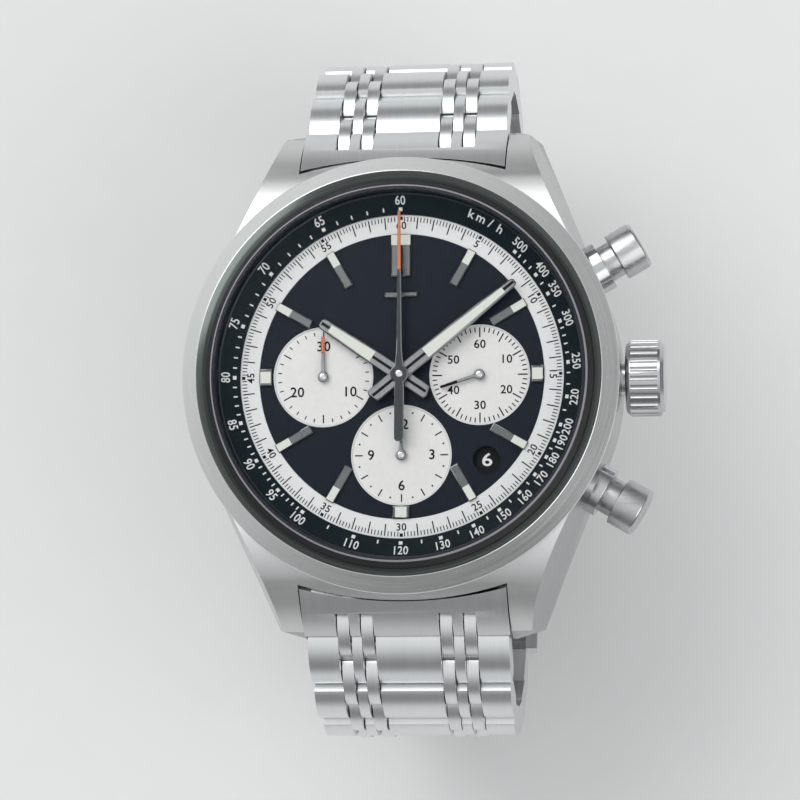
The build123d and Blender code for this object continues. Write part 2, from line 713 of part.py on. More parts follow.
with BuildPart() as balance_wheel:
    with BuildSketch(Plane.XY.offset(BALANCE_Z[0])):
        with Locations(BALANCE_AXIS):
            Circle(BALANCE_R)
            Circle(BALANCE_R - BALANCE_RIM, mode=Mode.SUBTRACT)
            Rectangle(2 * BALANCE_R - BALANCE_RIM, BALANCE_RIM)
            Circle(BALANCE_RIM)
    extrude(amount=BALANCE_Z[1] - BALANCE_Z[0])
    with BuildSketch(Plane.XY.offset(ARBOR[0])):
        with Locations(BALANCE_AXIS):
            Circle(ARBOR_R)
    extrude(amount=ARBOR[1] - ARBOR[0])
save(balance_wheel, "balance_wheel")

with BuildPart() as hairspring:
    inner, outer, step = HAIRSPRING_TURN
    with BuildSketch(Plane.XY.offset(HAIRSPRING_Z[0])):
        with Locations(BALANCE_AXIS):
            for turn in range(5):
                Circle(outer + step * turn)
                Circle(inner + step * turn, mode=Mode.SUBTRACT)
            with Locations((0, 1.36)):
                Rectangle(0.1, 1.9)
            Circle(0.45)
            Circle(ARBOR_R, mode=Mode.SUBTRACT)
    extrude(amount=HAIRSPRING_Z[1] - HAIRSPRING_Z[0])
save(hairspring, "hairspring")

with BuildPart() as rotor:
    with BuildSketch(Plane.XY.offset(ROTOR_PLATE[0])):
        Circle(MOVEMENT_R - ROTOR_GAP)
        with Locations((0, MOVEMENT_R / 2)):
            Rectangle(2 * MOVEMENT_R, MOVEMENT_R, mode=Mode.SUBTRACT)
        with Locations(*ROTOR_HOLES):
            Circle(ROTOR_HOLE_R, mode=Mode.SUBTRACT)
        Circle(ROTOR_HUB_R)
    extrude(amount=ROTOR_PLATE[1] - ROTOR_PLATE[0])
    with BuildSketch(Plane.XY.offset(ROTOR_Z[0] + 0.2)):
        Circle(MOVEMENT_R - ROTOR_GAP)
        Circle(MOVEMENT_R - ROTOR_WEIGHT, mode=Mode.SUBTRACT)
        with Locations((0, MOVEMENT_R / 2)):
            Rectangle(2 * MOVEMENT_R, MOVEMENT_R, mode=Mode.SUBTRACT)
    extrude(amount=ROTOR_Z[1] - ROTOR_Z[0] - 0.2)
    with BuildSketch(Plane.XY.offset(ROTOR_Z[0])):
        Circle(1.5)
    extrude(amount=1.3)
save(rotor, "rotor")

# ---- spring bars at the lugs ----
with BuildPart() as lug_spring_bars:
    for sy in (-1, 1):
        with BuildSketch(Plane.YZ.offset(-LUG_BAR_HALF)):
            with Locations((sy * LUG_BAR_AT[0], LUG_BAR_AT[1])):
                Circle(LUG_BAR_R)
        extrude(amount=2 * LUG_BAR_HALF)
save(lug_spring_bars, "lug_spring_bars")


# ---- bracelet ----
def link_plane(side, pivot, heading, x=0.0):
    """Section plane of a link: local x along the link, local y outwards from the wrist."""
    a = math.radians(heading)
    return Plane(
        origin=(x, side * pivot[0], pivot[1]),
        x_dir=(0, side * math.cos(a), -math.sin(a)),
        z_dir=(side, 0, 0),
    )


def chain_pivots(count):
    """Pivot points (distance from the crown axis, height) down one strand."""
    points = [CHAIN_START]
    for heading in HEADINGS[:count]:
        a = math.radians(heading)
        last = points[-1]
        points.append((last[0] + PITCH * math.cos(a), last[1] - PITCH * math.sin(a)))
    return points


def centre_half(index):
    """Half width of the centre piece of a row, which narrows towards the clasp."""
    return CENTRE_HALF - TAPER * (index - 1)


def row_spans(index):
    """Spans across the bracelet of the five pieces of a row."""
    centre = centre_half(index)
    thin = centre + SLOT
    outer = thin + THIN + SLOT
    edge = outer + OUTER - TAPER * (index - 1)
    return [(-centre, centre), (thin, thin + THIN), (-thin - THIN, -thin), (outer, edge), (-edge, -outer)]


def connector_spans(index):
    """Spans of the four connectors that join a row to the next one."""
    centre = (centre_half(index) + centre_half(index + 1)) / 2
    middles = (centre + SLOT / 2, centre + SLOT * 1.5 + THIN)
    return [(s * m - CONNECTOR_WIDTH / 2, s * m + CONNECTOR_WIDTH / 2) for s in (-1, 1) for m in middles]


def span_block(side, pivot, heading, span, section):
    """Extrude a side section over one span across the bracelet."""
    start = span[0] if side > 0 else span[1]
    with BuildSketch(link_plane(side, pivot, heading, start)) as block:
        add(section)
    extrude(block.sketch, amount=span[1] - span[0])


def row_section():
    """Side section of one piece of a row: round underneath at the near pin, convex on top."""
    diagonal = ROW_NEAR * math.sqrt(0.5)
    top_mid = ((ROW_FAR - ROW_NEAR) / 2, ROW_CROWN)
    with BuildSketch() as section:
        with BuildLine():
            Line((0, -ROW_NEAR), (ROW_FAR - 0.5, -ROW_NEAR))
            Line((ROW_FAR - 0.5, -ROW_NEAR), (ROW_FAR, -ROW_NEAR + 0.5))
            Line((ROW_FAR, -ROW_NEAR + 0.5), (ROW_FAR, ROW_EDGE))
            ThreePointArc((ROW_FAR, ROW_EDGE), top_mid, (-ROW_NEAR, ROW_EDGE))
            Line((-ROW_NEAR, ROW_EDGE), (-ROW_NEAR, 0))
            ThreePointArc((-ROW_NEAR, 0), (-diagonal, -diagonal), (0, -ROW_NEAR))
        make_face()
    return section.sketch


def connector_section(first, hole_r):
    """Side section of a connector from its own pin at first to the next row's pin."""
    last = first + PITCH - PIN_STEP
    near, far = first - CONNECTOR_END, last + CONNECTOR_END
    with BuildSketch() as section:
        with BuildLine():
            Line((first, -CONNECTOR_END), (last, -CONNECTOR_END))
            ThreePointArc((last, -CONNECTOR_END), (last + 0.85, -0.85), (far, 0))
            Line((far, 0), (far, 0.6))
            ThreePointArc((far, 0.6), ((first + last) / 2, ROW_CROWN), (near, 0.6))
            Line((near, 0.6), (near, 0))
            ThreePointArc((near, 0), (first - 0.85, -0.85), (first, -CONNECTOR_END))
        make_face()
        with Locations((first, 0)):
            Circle(PIN_R + FIT, mode=Mode.SUBTRACT)
        with Locations((last, 0)):
            Circle(hole_r, mode=Mode.SUBTRACT)
    return section.sketch


def pin_bar(side, pivot, heading, at, half_length, radius=PIN_R):
    """Add a pin across the bracelet at a distance along the link."""
    with BuildSketch(link_plane(side, pivot, heading, -side * half_length)) as bar:
        with Locations((at, 0)):
            Circle(radius)
    extrude(bar.sketch, amount=2 * half_length)


def link_part(side, index, pivot, far_bar=0):
    """One body of the bracelet: a row on its two pins, with the connectors to the next row.

    A far_bar is the half length of a spring bar through the connectors' far ends.
    """
    heading = HEADINGS[index - 1]
    half = row_spans(index)[3][1]
    with BuildPart() as link:
        for span in row_spans(index):
            span_block(side, pivot, heading, span, row_section())
        pin_bar(side, pivot, heading, 0, half - 0.6)
        pin_bar(side, pivot, heading, PIN_STEP, half - 0.6)
    with BuildPart() as connectors:
        for span in connector_spans(index):
            span_block(side, pivot, heading, span, connector_section(PIN_STEP, PIN_R + FIT))
    with BuildPart() as whole:
        add(link.part)
        add(connectors.part)
        if far_bar:
            pin_bar(side, pivot, heading, PITCH, far_bar)
    return whole


pivots = chain_pivots(UPPER_LINKS)
for index in range(1, UPPER_LINKS + 1):
    far_bar = ADJUSTING_BAR_HALF if index == UPPER_LINKS else 0
    save(link_part(1, index, pivots[index - 1], far_bar), f"upper_link_{index}")
for index in range(1, LOWER_LINKS + 1):
    save(link_part(-1, index, pivots[index - 1]), f"lower_link_{index}")

# end links: a saddle between the lugs, slotted for its four connectors
END_HALF = LUG_WIDTH / 2 - GAP
drop = math.radians(END_LINK_DROP)
along = (math.cos(drop), -math.sin(drop))
outward = (math.sin(drop), math.cos(drop))


def end_point(u, v):
    """A point of the end link's side view, from the first pivot."""
    return (
        CHAIN_START[0] + u * along[0] + v * outward[0],
        CHAIN_START[1] + u * along[1] + v * outward[1],
    )


END_FACE = -1.5
own_pin = PIN_STEP - PITCH
for side, label in ((1, "upper_end_link"), (-1, "lower_end_link")):
    with BuildPart() as saddle:
        top_edge = end_point(END_FACE, 1.3)
        low_edge = end_point(END_FACE, -1.4)
        with BuildSketch(Plane(origin=(-END_HALF, 0, 0), x_dir=(0, side, 0), z_dir=(side, 0, 0))):
            with BuildLine():
                inner = END_ARC_SIDE - 0.6
                bend = (22.9, lug_top(22.9) + 0.35)
                Polyline(top_edge, low_edge, (inner, 1.6), (inner, lug_top(inner) - 0.05))
                ThreePointArc((inner, lug_top(inner) - 0.05), bend, top_edge)
            make_face()
        extrude(amount=side * 2 * END_HALF)
        with BuildSketch(Plane.XY.offset(-2)):
            with BuildLine():
                half = LUG_WIDTH / 2 + 1
                inset = GAP
                mid_y = side * (END_ARC_MID + inset)
                side_y = side * (END_ARC_SIDE + inset)
                ThreePointArc((-half, side_y), (0, mid_y), (half, side_y))
                Line((half, side_y), (half, side * 30))
                Line((half, side * 30), (-half, side * 30))
                Line((-half, side * 30), (-half, side_y))
            make_face()
        extrude(amount=16, mode=Mode.INTERSECT)
        # slots for the connectors, right through
        for centre, width in [((a + b) / 2, SLOT) for a, b in connector_spans(0)]:
            span = (centre - width / 2, centre + width / 2)
            start = span[0] if side > 0 else span[1]
            with BuildSketch(link_plane(side, CHAIN_START, END_LINK_DROP, start)):
                with Locations((own_pin + 1.4, 0)):
                    Rectangle(5.8, 12)
            extrude(amount=width, mode=Mode.SUBTRACT)
        pin_bar(side, CHAIN_START, END_LINK_DROP, own_pin, 8.6)
        # tunnel for the spring bar
        with BuildSketch(Plane.YZ.offset(-12)):
            with Locations((side * LUG_BAR_AT[0], LUG_BAR_AT[1])):
                Circle(LUG_BAR_R + LUG_BAR_PLAY)
        extrude(amount=24, mode=Mode.SUBTRACT)
    with BuildPart() as connectors:
        for span in connector_spans(0):
            section = connector_section(own_pin, PIN_R + FIT)
            span_block(side, CHAIN_START, END_LINK_DROP, span, section)
    with BuildPart() as end_link:
        add(saddle.part)
        add(connectors.part)
    save(end_link, label)

# ---- folding clasp ----
lower_end = chain_pivots(LOWER_LINKS)[-1]
upper_end = pivots[-1]
chord = math.hypot(upper_end[0] + lower_end[0], upper_end[1] - lower_end[1])
tilt = math.atan2(lower_end[1] - upper_end[1], upper_end[0] + lower_end[0])
clasp_r = (chord**2 / 4 + CLASP_SAG**2) / (2 * CLASP_SAG)
END_ANGLE = math.degrees(math.asin(chord / 2 / clasp_r))
UPPER_HINGE = (20.0, -0.2)
LOWER_HINGE = (-20.5, 1.3)


def clasp_plane(x):
    """Section plane of the clasp: local x from the lower strand to the upper, local y outwards."""
    return Plane(
        origin=(x, -lower_end[0], lower_end[1]),
        x_dir=(0, math.cos(tilt), -math.sin(tilt)),
        z_dir=(-1, 0, 0),
    )


def clasp_point(offset, angle):
    """A point at an offset from the clasp's arc, at an angle from its middle."""
    r = clasp_r + offset
    a = math.radians(angle)
    return (chord / 2 + r * math.sin(a), CLASP_SAG - clasp_r + r * math.cos(a))


def clasp_strip(half, low, high, start, end, x_mid=0.0):
    """Extrude a strip that follows the clasp's arc."""
    middle = (start + end) / 2
    with BuildSketch(clasp_plane(x_mid + half)) as strip:
        with BuildLine():
            ThreePointArc(clasp_point(low, start), clasp_point(low, middle), clasp_point(low, end))
            Line(clasp_point(low, end), clasp_point(high, end))
            ThreePointArc(clasp_point(high, end), clasp_point(high, middle), clasp_point(high, start))
            Line(clasp_point(high, start), clasp_point(low, start))
        make_face()
    extrude(strip.sketch, amount=2 * half)


def clasp_barrel(half, at, radius, x_mid=0.0, mode=Mode.ADD):
    """Extrude a round bar across the clasp."""
    with BuildSketch(clasp_plane(x_mid + half)) as bar:
        with Locations(clasp_point(at[1], at[0])):
            Circle(radius)
    extrude(bar.sketch, amount=2 * half, mode=mode)


HINGE_R = 0.9
HINGE_PIN_R = 0.4
KNUCKLE_SIDE = 3.8
KNUCKLE_HALF = 1.6
TONGUE_HALF = 2.1
with BuildPart() as clasp_inner_blade:
    clasp_strip(BLADE_HALF, -1.4, -0.6, -23.0, 18.4)
    clasp_strip(8.4, -1.4, -0.6, -23.5, -22.0)
    for low_x, high_x in row_spans(LOWER_LINKS + 1):
        middle = (low_x + high_x) / 2
        clasp_strip((high_x - low_x) / 2, -1.2, -0.6, -END_ANGLE, -23.3, middle)
        clasp_barrel((high_x - low_x) / 2, (-END_ANGLE, 0), 1.2, middle)
    clasp_barrel(8.0, (-END_ANGLE, 0), PIN_R)
    for x_mid in (-KNUCKLE_SIDE, KNUCKLE_SIDE):
        clasp_strip(KNUCKLE_HALF, -1.2, -0.4, 17.5, UPPER_HINGE[0], x_mid)
        clasp_barrel(KNUCKLE_HALF, UPPER_HINGE, HINGE_R, x_mid)
    clasp_barrel(KNUCKLE_SIDE, UPPER_HINGE, HINGE_PIN_R)
save(clasp_inner_blade, "clasp_inner_blade")

with BuildPart() as clasp_middle_blade:
    clasp_strip(BLADE_HALF, 0.4, 1.2, -18.0, 17.6)
    clasp_strip(TONGUE_HALF, -0.1, 0.6, 17.2, UPPER_HINGE[0])
    clasp_strip(TONGUE_HALF, 0.4, 1.2, -20.5, 17.6)
    clasp_barrel(TONGUE_HALF, UPPER_HINGE, HINGE_R)
    clasp_barrel(TONGUE_HALF, LOWER_HINGE, HINGE_R)
    clasp_barrel(TONGUE_HALF + 1, UPPER_HINGE, HINGE_PIN_R + FIT, mode=Mode.SUBTRACT)
    clasp_barrel(KNUCKLE_SIDE, LOWER_HINGE, HINGE_PIN_R)
save(clasp_middle_blade, "clasp_middle_blade")

WALL_MID = COVER_HALF - COVER_WALL / 2
BUTTON_ANGLE = -3.0
with BuildPart() as clasp_cover:
    clasp_strip(COVER_HALF, *COVER_PLATE, -24.5, 24.0)
    for x_mid in (-WALL_MID, WALL_MID):
        clasp_strip(COVER_WALL / 2, -1.2, COVER_PLATE[0] + 0.1, -22.0, 24.0, x_mid)
        clasp_strip(COVER_WALL / 2, -1.2, 1.4, 23.5, END_ANGLE + 1.6, x_mid)
        clasp_barrel(COVER_WALL, (END_ANGLE, 0), PIN_R + FIT, x_mid, Mode.SUBTRACT)
        clasp_barrel(COVER_WALL, (BUTTON_ANGLE, 0.6), 1.3 + FIT, x_mid, Mode.SUBTRACT)
    for x_mid in (-KNUCKLE_SIDE, KNUCKLE_SIDE):
        clasp_barrel(1.5, LOWER_HINGE, HINGE_R, x_mid)
        clasp_strip(1.5, 1.4, COVER_PLATE[0] + 0.1, -21.4, -19.6, x_mid)
        clasp_barrel(1.6, LOWER_HINGE, HINGE_PIN_R + FIT, x_mid, Mode.SUBTRACT)
    fillet(clasp_cover.faces().sort_by(Axis.Z)[0].edges().filter_by(GeomType.CIRCLE), 0.3)
save(clasp_cover, "clasp_cover")

for label, s in (("left", -1), ("right", 1)):
    with BuildPart() as button:
        clasp_barrel(1.0, (BUTTON_ANGLE, 0.6), 1.3, s * (COVER_HALF - 0.3))
        clasp_barrel(0.2, (BUTTON_ANGLE, 0.6), 1.55, s * (COVER_HALF - COVER_WALL - 0.3))
    save(button, f"clasp_button_{label}")
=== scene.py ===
"""Looks of a steel chronograph wristwatch with a black dial, silver subdials and a link bracelet."""
import json
import logging
import math
from dataclasses import dataclass, field
from enum import Enum
from typing import ClassVar

import bmesh
import bpy
from mathutils import Matrix, Vector


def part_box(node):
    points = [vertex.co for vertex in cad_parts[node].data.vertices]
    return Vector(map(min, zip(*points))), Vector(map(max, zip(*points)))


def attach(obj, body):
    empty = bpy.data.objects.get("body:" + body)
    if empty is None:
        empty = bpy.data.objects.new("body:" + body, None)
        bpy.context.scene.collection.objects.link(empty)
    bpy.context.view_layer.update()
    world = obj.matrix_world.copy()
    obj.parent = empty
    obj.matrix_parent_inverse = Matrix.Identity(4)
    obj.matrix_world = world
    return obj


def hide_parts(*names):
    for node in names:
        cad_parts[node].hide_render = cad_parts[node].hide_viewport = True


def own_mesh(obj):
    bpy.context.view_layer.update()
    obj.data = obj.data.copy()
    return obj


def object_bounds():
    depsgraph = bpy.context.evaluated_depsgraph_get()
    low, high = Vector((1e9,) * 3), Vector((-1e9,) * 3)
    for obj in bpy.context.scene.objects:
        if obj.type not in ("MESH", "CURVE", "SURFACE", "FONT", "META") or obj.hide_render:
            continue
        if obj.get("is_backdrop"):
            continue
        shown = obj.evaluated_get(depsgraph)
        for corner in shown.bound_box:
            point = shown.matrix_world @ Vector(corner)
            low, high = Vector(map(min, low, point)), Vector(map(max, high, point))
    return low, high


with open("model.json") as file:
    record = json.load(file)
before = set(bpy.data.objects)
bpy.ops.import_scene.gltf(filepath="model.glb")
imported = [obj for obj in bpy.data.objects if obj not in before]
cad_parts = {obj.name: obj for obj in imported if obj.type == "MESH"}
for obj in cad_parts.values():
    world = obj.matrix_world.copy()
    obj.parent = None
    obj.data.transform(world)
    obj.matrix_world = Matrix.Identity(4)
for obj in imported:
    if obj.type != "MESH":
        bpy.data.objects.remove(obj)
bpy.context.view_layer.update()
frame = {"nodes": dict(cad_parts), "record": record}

log = logging.getLogger("wristwatch")
MM = 0.001
FULL_TURN = 2 * math.pi
SPIN_STEPS = 180
SPIN_MERGE = 1e-8
CAD_MERGE = 2e-6
FLAT_ANGLE = 0.6
REFINED_SHARP = 17.0
PRINT_THICK = 0.012
PRINT_LIFT = 0.008
TYPE_WEIGHT = 0.014
TYPE_STEPS = 3
TYPE_SPACING = 1.04
HOUR = 30

RGB = tuple[float, float, float]
Point3 = tuple[float, float, float]
Point2 = tuple[float, float]


class Grain(Enum):
    """The direction of the fine lines that a finish leaves in a surface."""

    NONE = "none"
    ALONG_YZ = "along the bracelet"
    ALONG_Y = "along the case"
    CIRCULAR = "circular"
    SUNRAY = "sunray"
    ACROSS = "across"


@dataclass(frozen=True)
class Finish:
    """A surface finish: its colour, gloss and grain.

    Args:
        name: name of the material.
        colour: base colour.
        roughness: mean roughness.
        metallic: 1 for bare metal, 0 for paint, print or lume.
        grain: direction of the lines.
        lines: lines for each millimetre across the grain.
        depth: strength of the lines in the bump.
        spread: how far roughness and tone wander from their means.
        specular: strength of the mirror reflection of paint or print.
    """

    name: str
    colour: RGB
    roughness: float = 0.3
    metallic: float = 1.0
    grain: Grain = Grain.NONE
    lines: float = 4.0
    depth: float = 0.1
    spread: float = 0.08
    specular: float = 0.5

    NOISE_DETAIL: ClassVar[float] = 3.0
    NOISE_RANGE: ClassVar[tuple[float, float]] = (0.3, 0.7)
    LEAST_ROUGHNESS: ClassVar[float] = 0.02
    BUMP_HEIGHT: ClassVar[float] = 0.02
    LINES_ALONG_GRAIN: ClassVar[float] = 0.12
    ARCS_PER_RADIAN: ClassVar[float] = 2.0
    RAYS_PER_LINE: ClassVar[float] = 20

    def material(self) -> bpy.types.Material:
        """Make the finish's material on first use.

        Returns:
            The material.
        """
        title = f"look_{self.name}"
        known = bpy.data.materials.get(title)
        if known:
            return known
        made = bpy.data.materials.new(title)
        made.use_nodes = True
        tree = made.node_tree
        shader = tree.nodes["Principled BSDF"]
        shader.inputs["Metallic"].default_value = self.metallic
        shader.inputs["Specular IOR Level"].default_value = self.specular
        noise = tree.nodes.new("ShaderNodeTexNoise")
        noise.inputs["Scale"].default_value = 1.0
        noise.inputs["Detail"].default_value = self.NOISE_DETAIL
        tree.links.new(self._grain_vector(tree), noise.inputs["Vector"])
        self._wander(tree, noise, shader)
        if self.depth:
            bump = tree.nodes.new("ShaderNodeBump")
            bump.inputs["Strength"].default_value = self.depth
            bump.inputs["Distance"].default_value = self.BUMP_HEIGHT * MM
            tree.links.new(noise.outputs["Fac"], bump.inputs["Height"])
            tree.links.new(bump.outputs["Normal"], shader.inputs["Normal"])
        return made

    def _wander(
        self, tree: bpy.types.NodeTree, noise: bpy.types.Node, shader: bpy.types.Node
    ) -> None:
        """Let the roughness and the tone wander with the grain.

        Args:
            tree: the material's nodes.
            noise: the grain's noise.
            shader: the surface shader.
        """
        least, most = self.NOISE_RANGE
        rough = tree.nodes.new("ShaderNodeMapRange")
        rough.inputs["From Min"].default_value = least
        rough.inputs["From Max"].default_value = most
        rough.inputs["To Min"].default_value = max(self.LEAST_ROUGHNESS, self.roughness - self.spread)
        rough.inputs["To Max"].default_value = self.roughness + self.spread
        tree.links.new(noise.outputs["Fac"], rough.inputs["Value"])
        tree.links.new(rough.outputs["Result"], shader.inputs["Roughness"])
        tone = tree.nodes.new("ShaderNodeValToRGB")
        dark, light = tone.color_ramp.elements
        dark.position, light.position = self.NOISE_RANGE
        dark.color = (*(c * (1 - self.spread) for c in self.colour), 1)
        light.color = (*(min(1.0, c * (1 + self.spread)) for c in self.colour), 1)
        tree.links.new(noise.outputs["Fac"], tone.inputs["Fac"])
        tree.links.new(tone.outputs["Color"], shader.inputs["Base Color"])

    def _grain_vector(self, tree: bpy.types.NodeTree) -> bpy.types.NodeSocket:
        """Stretch the noise along the grain.

        Args:
            tree: the material's nodes.

        Returns:
            The vector output that the noise reads.
        """
        place = tree.nodes.new("ShaderNodeTexCoord").outputs["Object"]
        across, with_it = self.lines / MM, self.LINES_ALONG_GRAIN / MM
        scales = {
            Grain.NONE: (across, across, across),
            Grain.ALONG_YZ: (across, with_it, with_it),
            Grain.ALONG_Y: (across, with_it, across),
            Grain.ACROSS: (with_it, across, across),
        }
        if self.grain in scales:
            mapping = tree.nodes.new("ShaderNodeMapping")
            mapping.inputs["Scale"].default_value = scales[self.grain]
            tree.links.new(place, mapping.inputs["Vector"])
            return mapping.outputs["Vector"]
        split = tree.nodes.new("ShaderNodeSeparateXYZ")
        tree.links.new(place, split.inputs["Vector"])
        radius = self._maths(tree, "SQRT", self._maths(tree, "ADD", *(
            self._maths(tree, "MULTIPLY", split.outputs[axis], split.outputs[axis])
            for axis in ("X", "Y")
        )))
        bearing = self._maths(tree, "ARCTAN2", split.outputs["Y"], split.outputs["X"])
        ring_scale, ray_scale = {
            Grain.CIRCULAR: (across, self.ARCS_PER_RADIAN),
            Grain.SUNRAY: (with_it, self.lines * self.RAYS_PER_LINE),
        }[self.grain]
        joined = tree.nodes.new("ShaderNodeCombineXYZ")
        tree.links.new(self._maths(tree, "MULTIPLY", radius, ring_scale), joined.inputs["X"])
        tree.links.new(self._maths(tree, "MULTIPLY", bearing, ray_scale), joined.inputs["Y"])
        tree.links.new(self._maths(tree, "MULTIPLY", split.outputs["Z"], ring_scale), joined.inputs["Z"])
        return joined.outputs["Vector"]

    @staticmethod
    def _maths(
        tree: bpy.types.NodeTree, step: str, *values: float | bpy.types.NodeSocket
    ) -> bpy.types.NodeSocket:
        """Add one maths node.

        Args:
            tree: the material's nodes.
            step: the node's operation.
            values: numbers, or outputs to read.

        Returns:
            The node's output.
        """
        node = tree.nodes.new("ShaderNodeMath")
        node.operation = step
        for slot, value in zip(node.inputs, values):
            if isinstance(value, (int, float)):
                slot.default_value = value
            else:
                tree.links.new(value, slot)
        return node.outputs["Value"]


# Finishes of the case and bracelet
LUG_SATIN = Finish(
    "lug_satin", (0.69, 0.705, 0.7), 0.4, grain=Grain.ALONG_Y, lines=8, depth=0.01, spread=0.02,
)
CONE_SATIN = Finish(
    "cone_satin", (0.78, 0.795, 0.79), 0.24, grain=Grain.CIRCULAR, lines=6, depth=0.025, spread=0.04,
)
# Polished steel of the case flanks and facets, its colour darkened as painted shade for the dark surroundings
# they reflect.
FLANK_PAINTED_SHADE = Finish("flank_painted_shade", (0.42, 0.43, 0.435), 0.2, lines=0.5, depth=0.0, spread=0.03)
# Steel of the bezel's inner bevel, darkened as painted shade for the dark surroundings it reflects.
BEVEL_PAINTED_SHADE = Finish("bevel_painted_shade", (0.2, 0.225, 0.215), 0.2, grain=Grain.CIRCULAR, lines=5, depth=0.05)
LINK_SATIN = Finish(
    "link_satin", (0.76, 0.775, 0.78), 0.31, grain=Grain.ALONG_YZ, lines=9, depth=0.006, spread=0.025,
)
POLISH = Finish("polished_steel", (0.56, 0.57, 0.575), 0.14, lines=0.3, depth=0.0, spread=0.03)
SATIN_TURNED = Finish("turned_steel", (0.5, 0.51, 0.515), 0.3, grain=Grain.ACROSS, lines=4, depth=0.12)
SEAL = Finish("seal_rubber", (0.006, 0.006, 0.007), 0.5, metallic=0.0, lines=2, depth=0.02)
# Finishes of the dial and hands
DIAL_BLACK = Finish(
    "dial_black", (0.006, 0.0105, 0.021), 0.36, metallic=0.0, grain=Grain.SUNRAY, lines=2, depth=0.0,
    spread=0.06, specular=0.16,
)
FLANGE_BLACK = Finish(
    "flange_black", (0.004, 0.012, 0.017), 0.5, metallic=0.0, lines=2, depth=0.02, specular=0.16,
)
SUBDIAL_SILVER = Finish(
    "subdial_silver", (0.76, 0.752, 0.745), 0.45, metallic=0.35, lines=2, depth=0.03, spread=0.03,
)
TRACK_SILVER = Finish(
    "track_silver", (0.82, 0.83, 0.83), 0.5, metallic=0.15, lines=3, depth=0.02, spread=0.03,
)
PRINT_BLACK = Finish(
    "print_black", (0.006, 0.006, 0.008), 0.5, metallic=0.0, lines=3, depth=0.0, specular=0.15,
)
PRINT_WHITE = Finish("print_white", (0.85, 0.86, 0.86), 0.5, metallic=0.0, lines=3, depth=0.0, spread=0.02)
LUME = Finish("lume", (0.79, 0.825, 0.755), 0.6, metallic=0.0, lines=7, depth=0.1, spread=0.035)
HAND_SATIN = Finish("hand_satin", (0.26, 0.27, 0.275), 0.34, lines=6, depth=0.03)
MARKER_SATIN = Finish("marker_satin", (0.15, 0.16, 0.163), 0.3, lines=2, depth=0.0, spread=0.03)
HAND_DARK = Finish("hand_dark", (0.05, 0.057, 0.063), 0.36, metallic=0.6, lines=5, depth=0.03)
HAND_EDGE = Finish("hand_edge", (0.75, 0.76, 0.77), 0.15, lines=1, depth=0.0, spread=0.03)
ORANGE = Finish("orange_lacquer", (0.66, 0.2, 0.08), 0.4, metallic=0.0, lines=5, depth=0.02, spread=0.04)
# Finishes of the movement
NICKEL = Finish("striped_nickel", (0.62, 0.62, 0.6), 0.3, grain=Grain.ALONG_YZ, lines=0.5, depth=0.12)
GILT = Finish("gilt_brass", (0.72, 0.5, 0.22), 0.28, grain=Grain.CIRCULAR, lines=4, depth=0.08)
BLUED = Finish("blued_steel", (0.05, 0.08, 0.3), 0.2, lines=3, depth=0.02)
RING_MATT = Finish("ring_matt", (0.1, 0.1, 0.11), 0.55, metallic=0.0, lines=4, depth=0.05)
# Finish of the floor
PAPER = Finish("studio_paper", (0.82, 0.82, 0.82), 0.8, metallic=0.0, lines=0.2, depth=0.0, spread=0.005)

SLOT_FINISH: dict[str, Finish] = {
    "case_steel": LUG_SATIN, "bezel_steel": CONE_SATIN, "seal_rubber": SEAL, "flange": FLANGE_BLACK,
    "dial_black": DIAL_BLACK, "markers": HAND_SATIN, "date_print": PRINT_BLACK, "hand_steel": HAND_SATIN,
    "hand_dark": HAND_DARK, "hand_orange": HAND_DARK, "polished_steel": POLISH, "link_steel": LINK_SATIN,
    "connector_steel": LINK_SATIN, "brass": GILT, "movement_steel": NICKEL, "spring_steel": BLUED,
    "case_ring": RING_MATT,
}


@dataclass(frozen=True)
class Glass:
    """Clear glass that lets the light through to what lies under it.

    Args:
        name: name of the material.
        alpha: how much of the surface is seen.
        colour: tint.
        roughness: roughness of the surface.
        specular: strength of its mirror reflection.
    """

    name: str
    alpha: float
    colour: RGB
    roughness: float = 0.03
    specular: float = 0.3

    def material(self) -> bpy.types.Material:
        """Make the material.

        Returns:
            The material.
        """
        made = bpy.data.materials.new(self.name)
        made.use_nodes = True
        shader = made.node_tree.nodes["Principled BSDF"]
        shader.inputs["Base Color"].default_value = (*self.colour, 1)
        shader.inputs["Roughness"].default_value = self.roughness
        shader.inputs["Alpha"].default_value = self.alpha
        shader.inputs["Specular IOR Level"].default_value = self.specular
        return made


CLEAR_GLASS = Glass("clear_glass", 0.03, (0.0, 0.0, 0.0))
GROUND_EDGE = Glass("ground_glass_edge", 0.75, (0.5, 0.49, 0.52))
DEEP_EDGE = Glass("deep_glass_edge", 0.35, (0.05, 0.045, 0.065))
WINDOW_GLASS = Glass("window_glass", 0.06, (0.9, 0.95, 1.0))


# ---- mesh helpers ----


def dress(node: str, finish: Finish | Glass) -> None:
    """Give a CAD node one finish.

    Args:
        node: name of the CAD node.
        finish: its finish.
    """
    materials = frame["nodes"][node].data.materials
    materials.clear()
    materials.append(finish.material())


def piece(
    name: str, bm: bmesh.types.BMesh, finishes: list[Finish | Glass], body: str,
    sharp: float = 32.0, recalc: bool = True,
) -> bpy.types.Object:
    """Turn a bmesh into a finished piece that rides a body.

    Args:
        name: name of the piece.
        bm: the mesh, which is freed.
        finishes: finishes in the order of the faces' material numbers.
        body: body that the piece moves with.
        sharp: angle above which an edge stays sharp, in degrees.
        recalc: whether to turn all faces outwards.

    Returns:
        The new object.
    """
    if recalc:
        bmesh.ops.recalc_face_normals(bm, faces=bm.faces)
    mesh = bpy.data.meshes.new(name)
    bm.to_mesh(mesh)
    bm.free()
    for finish in finishes:
        mesh.materials.append(finish.material())
    mesh.shade_smooth()
    mesh.set_sharp_from_angle(angle=math.radians(sharp))
    made = bpy.data.objects.new(name, mesh)
    bpy.context.scene.collection.objects.link(made)
    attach(made, body)
    log.info("%s: %d faces on %s", name, len(mesh.polygons), body)
    return made


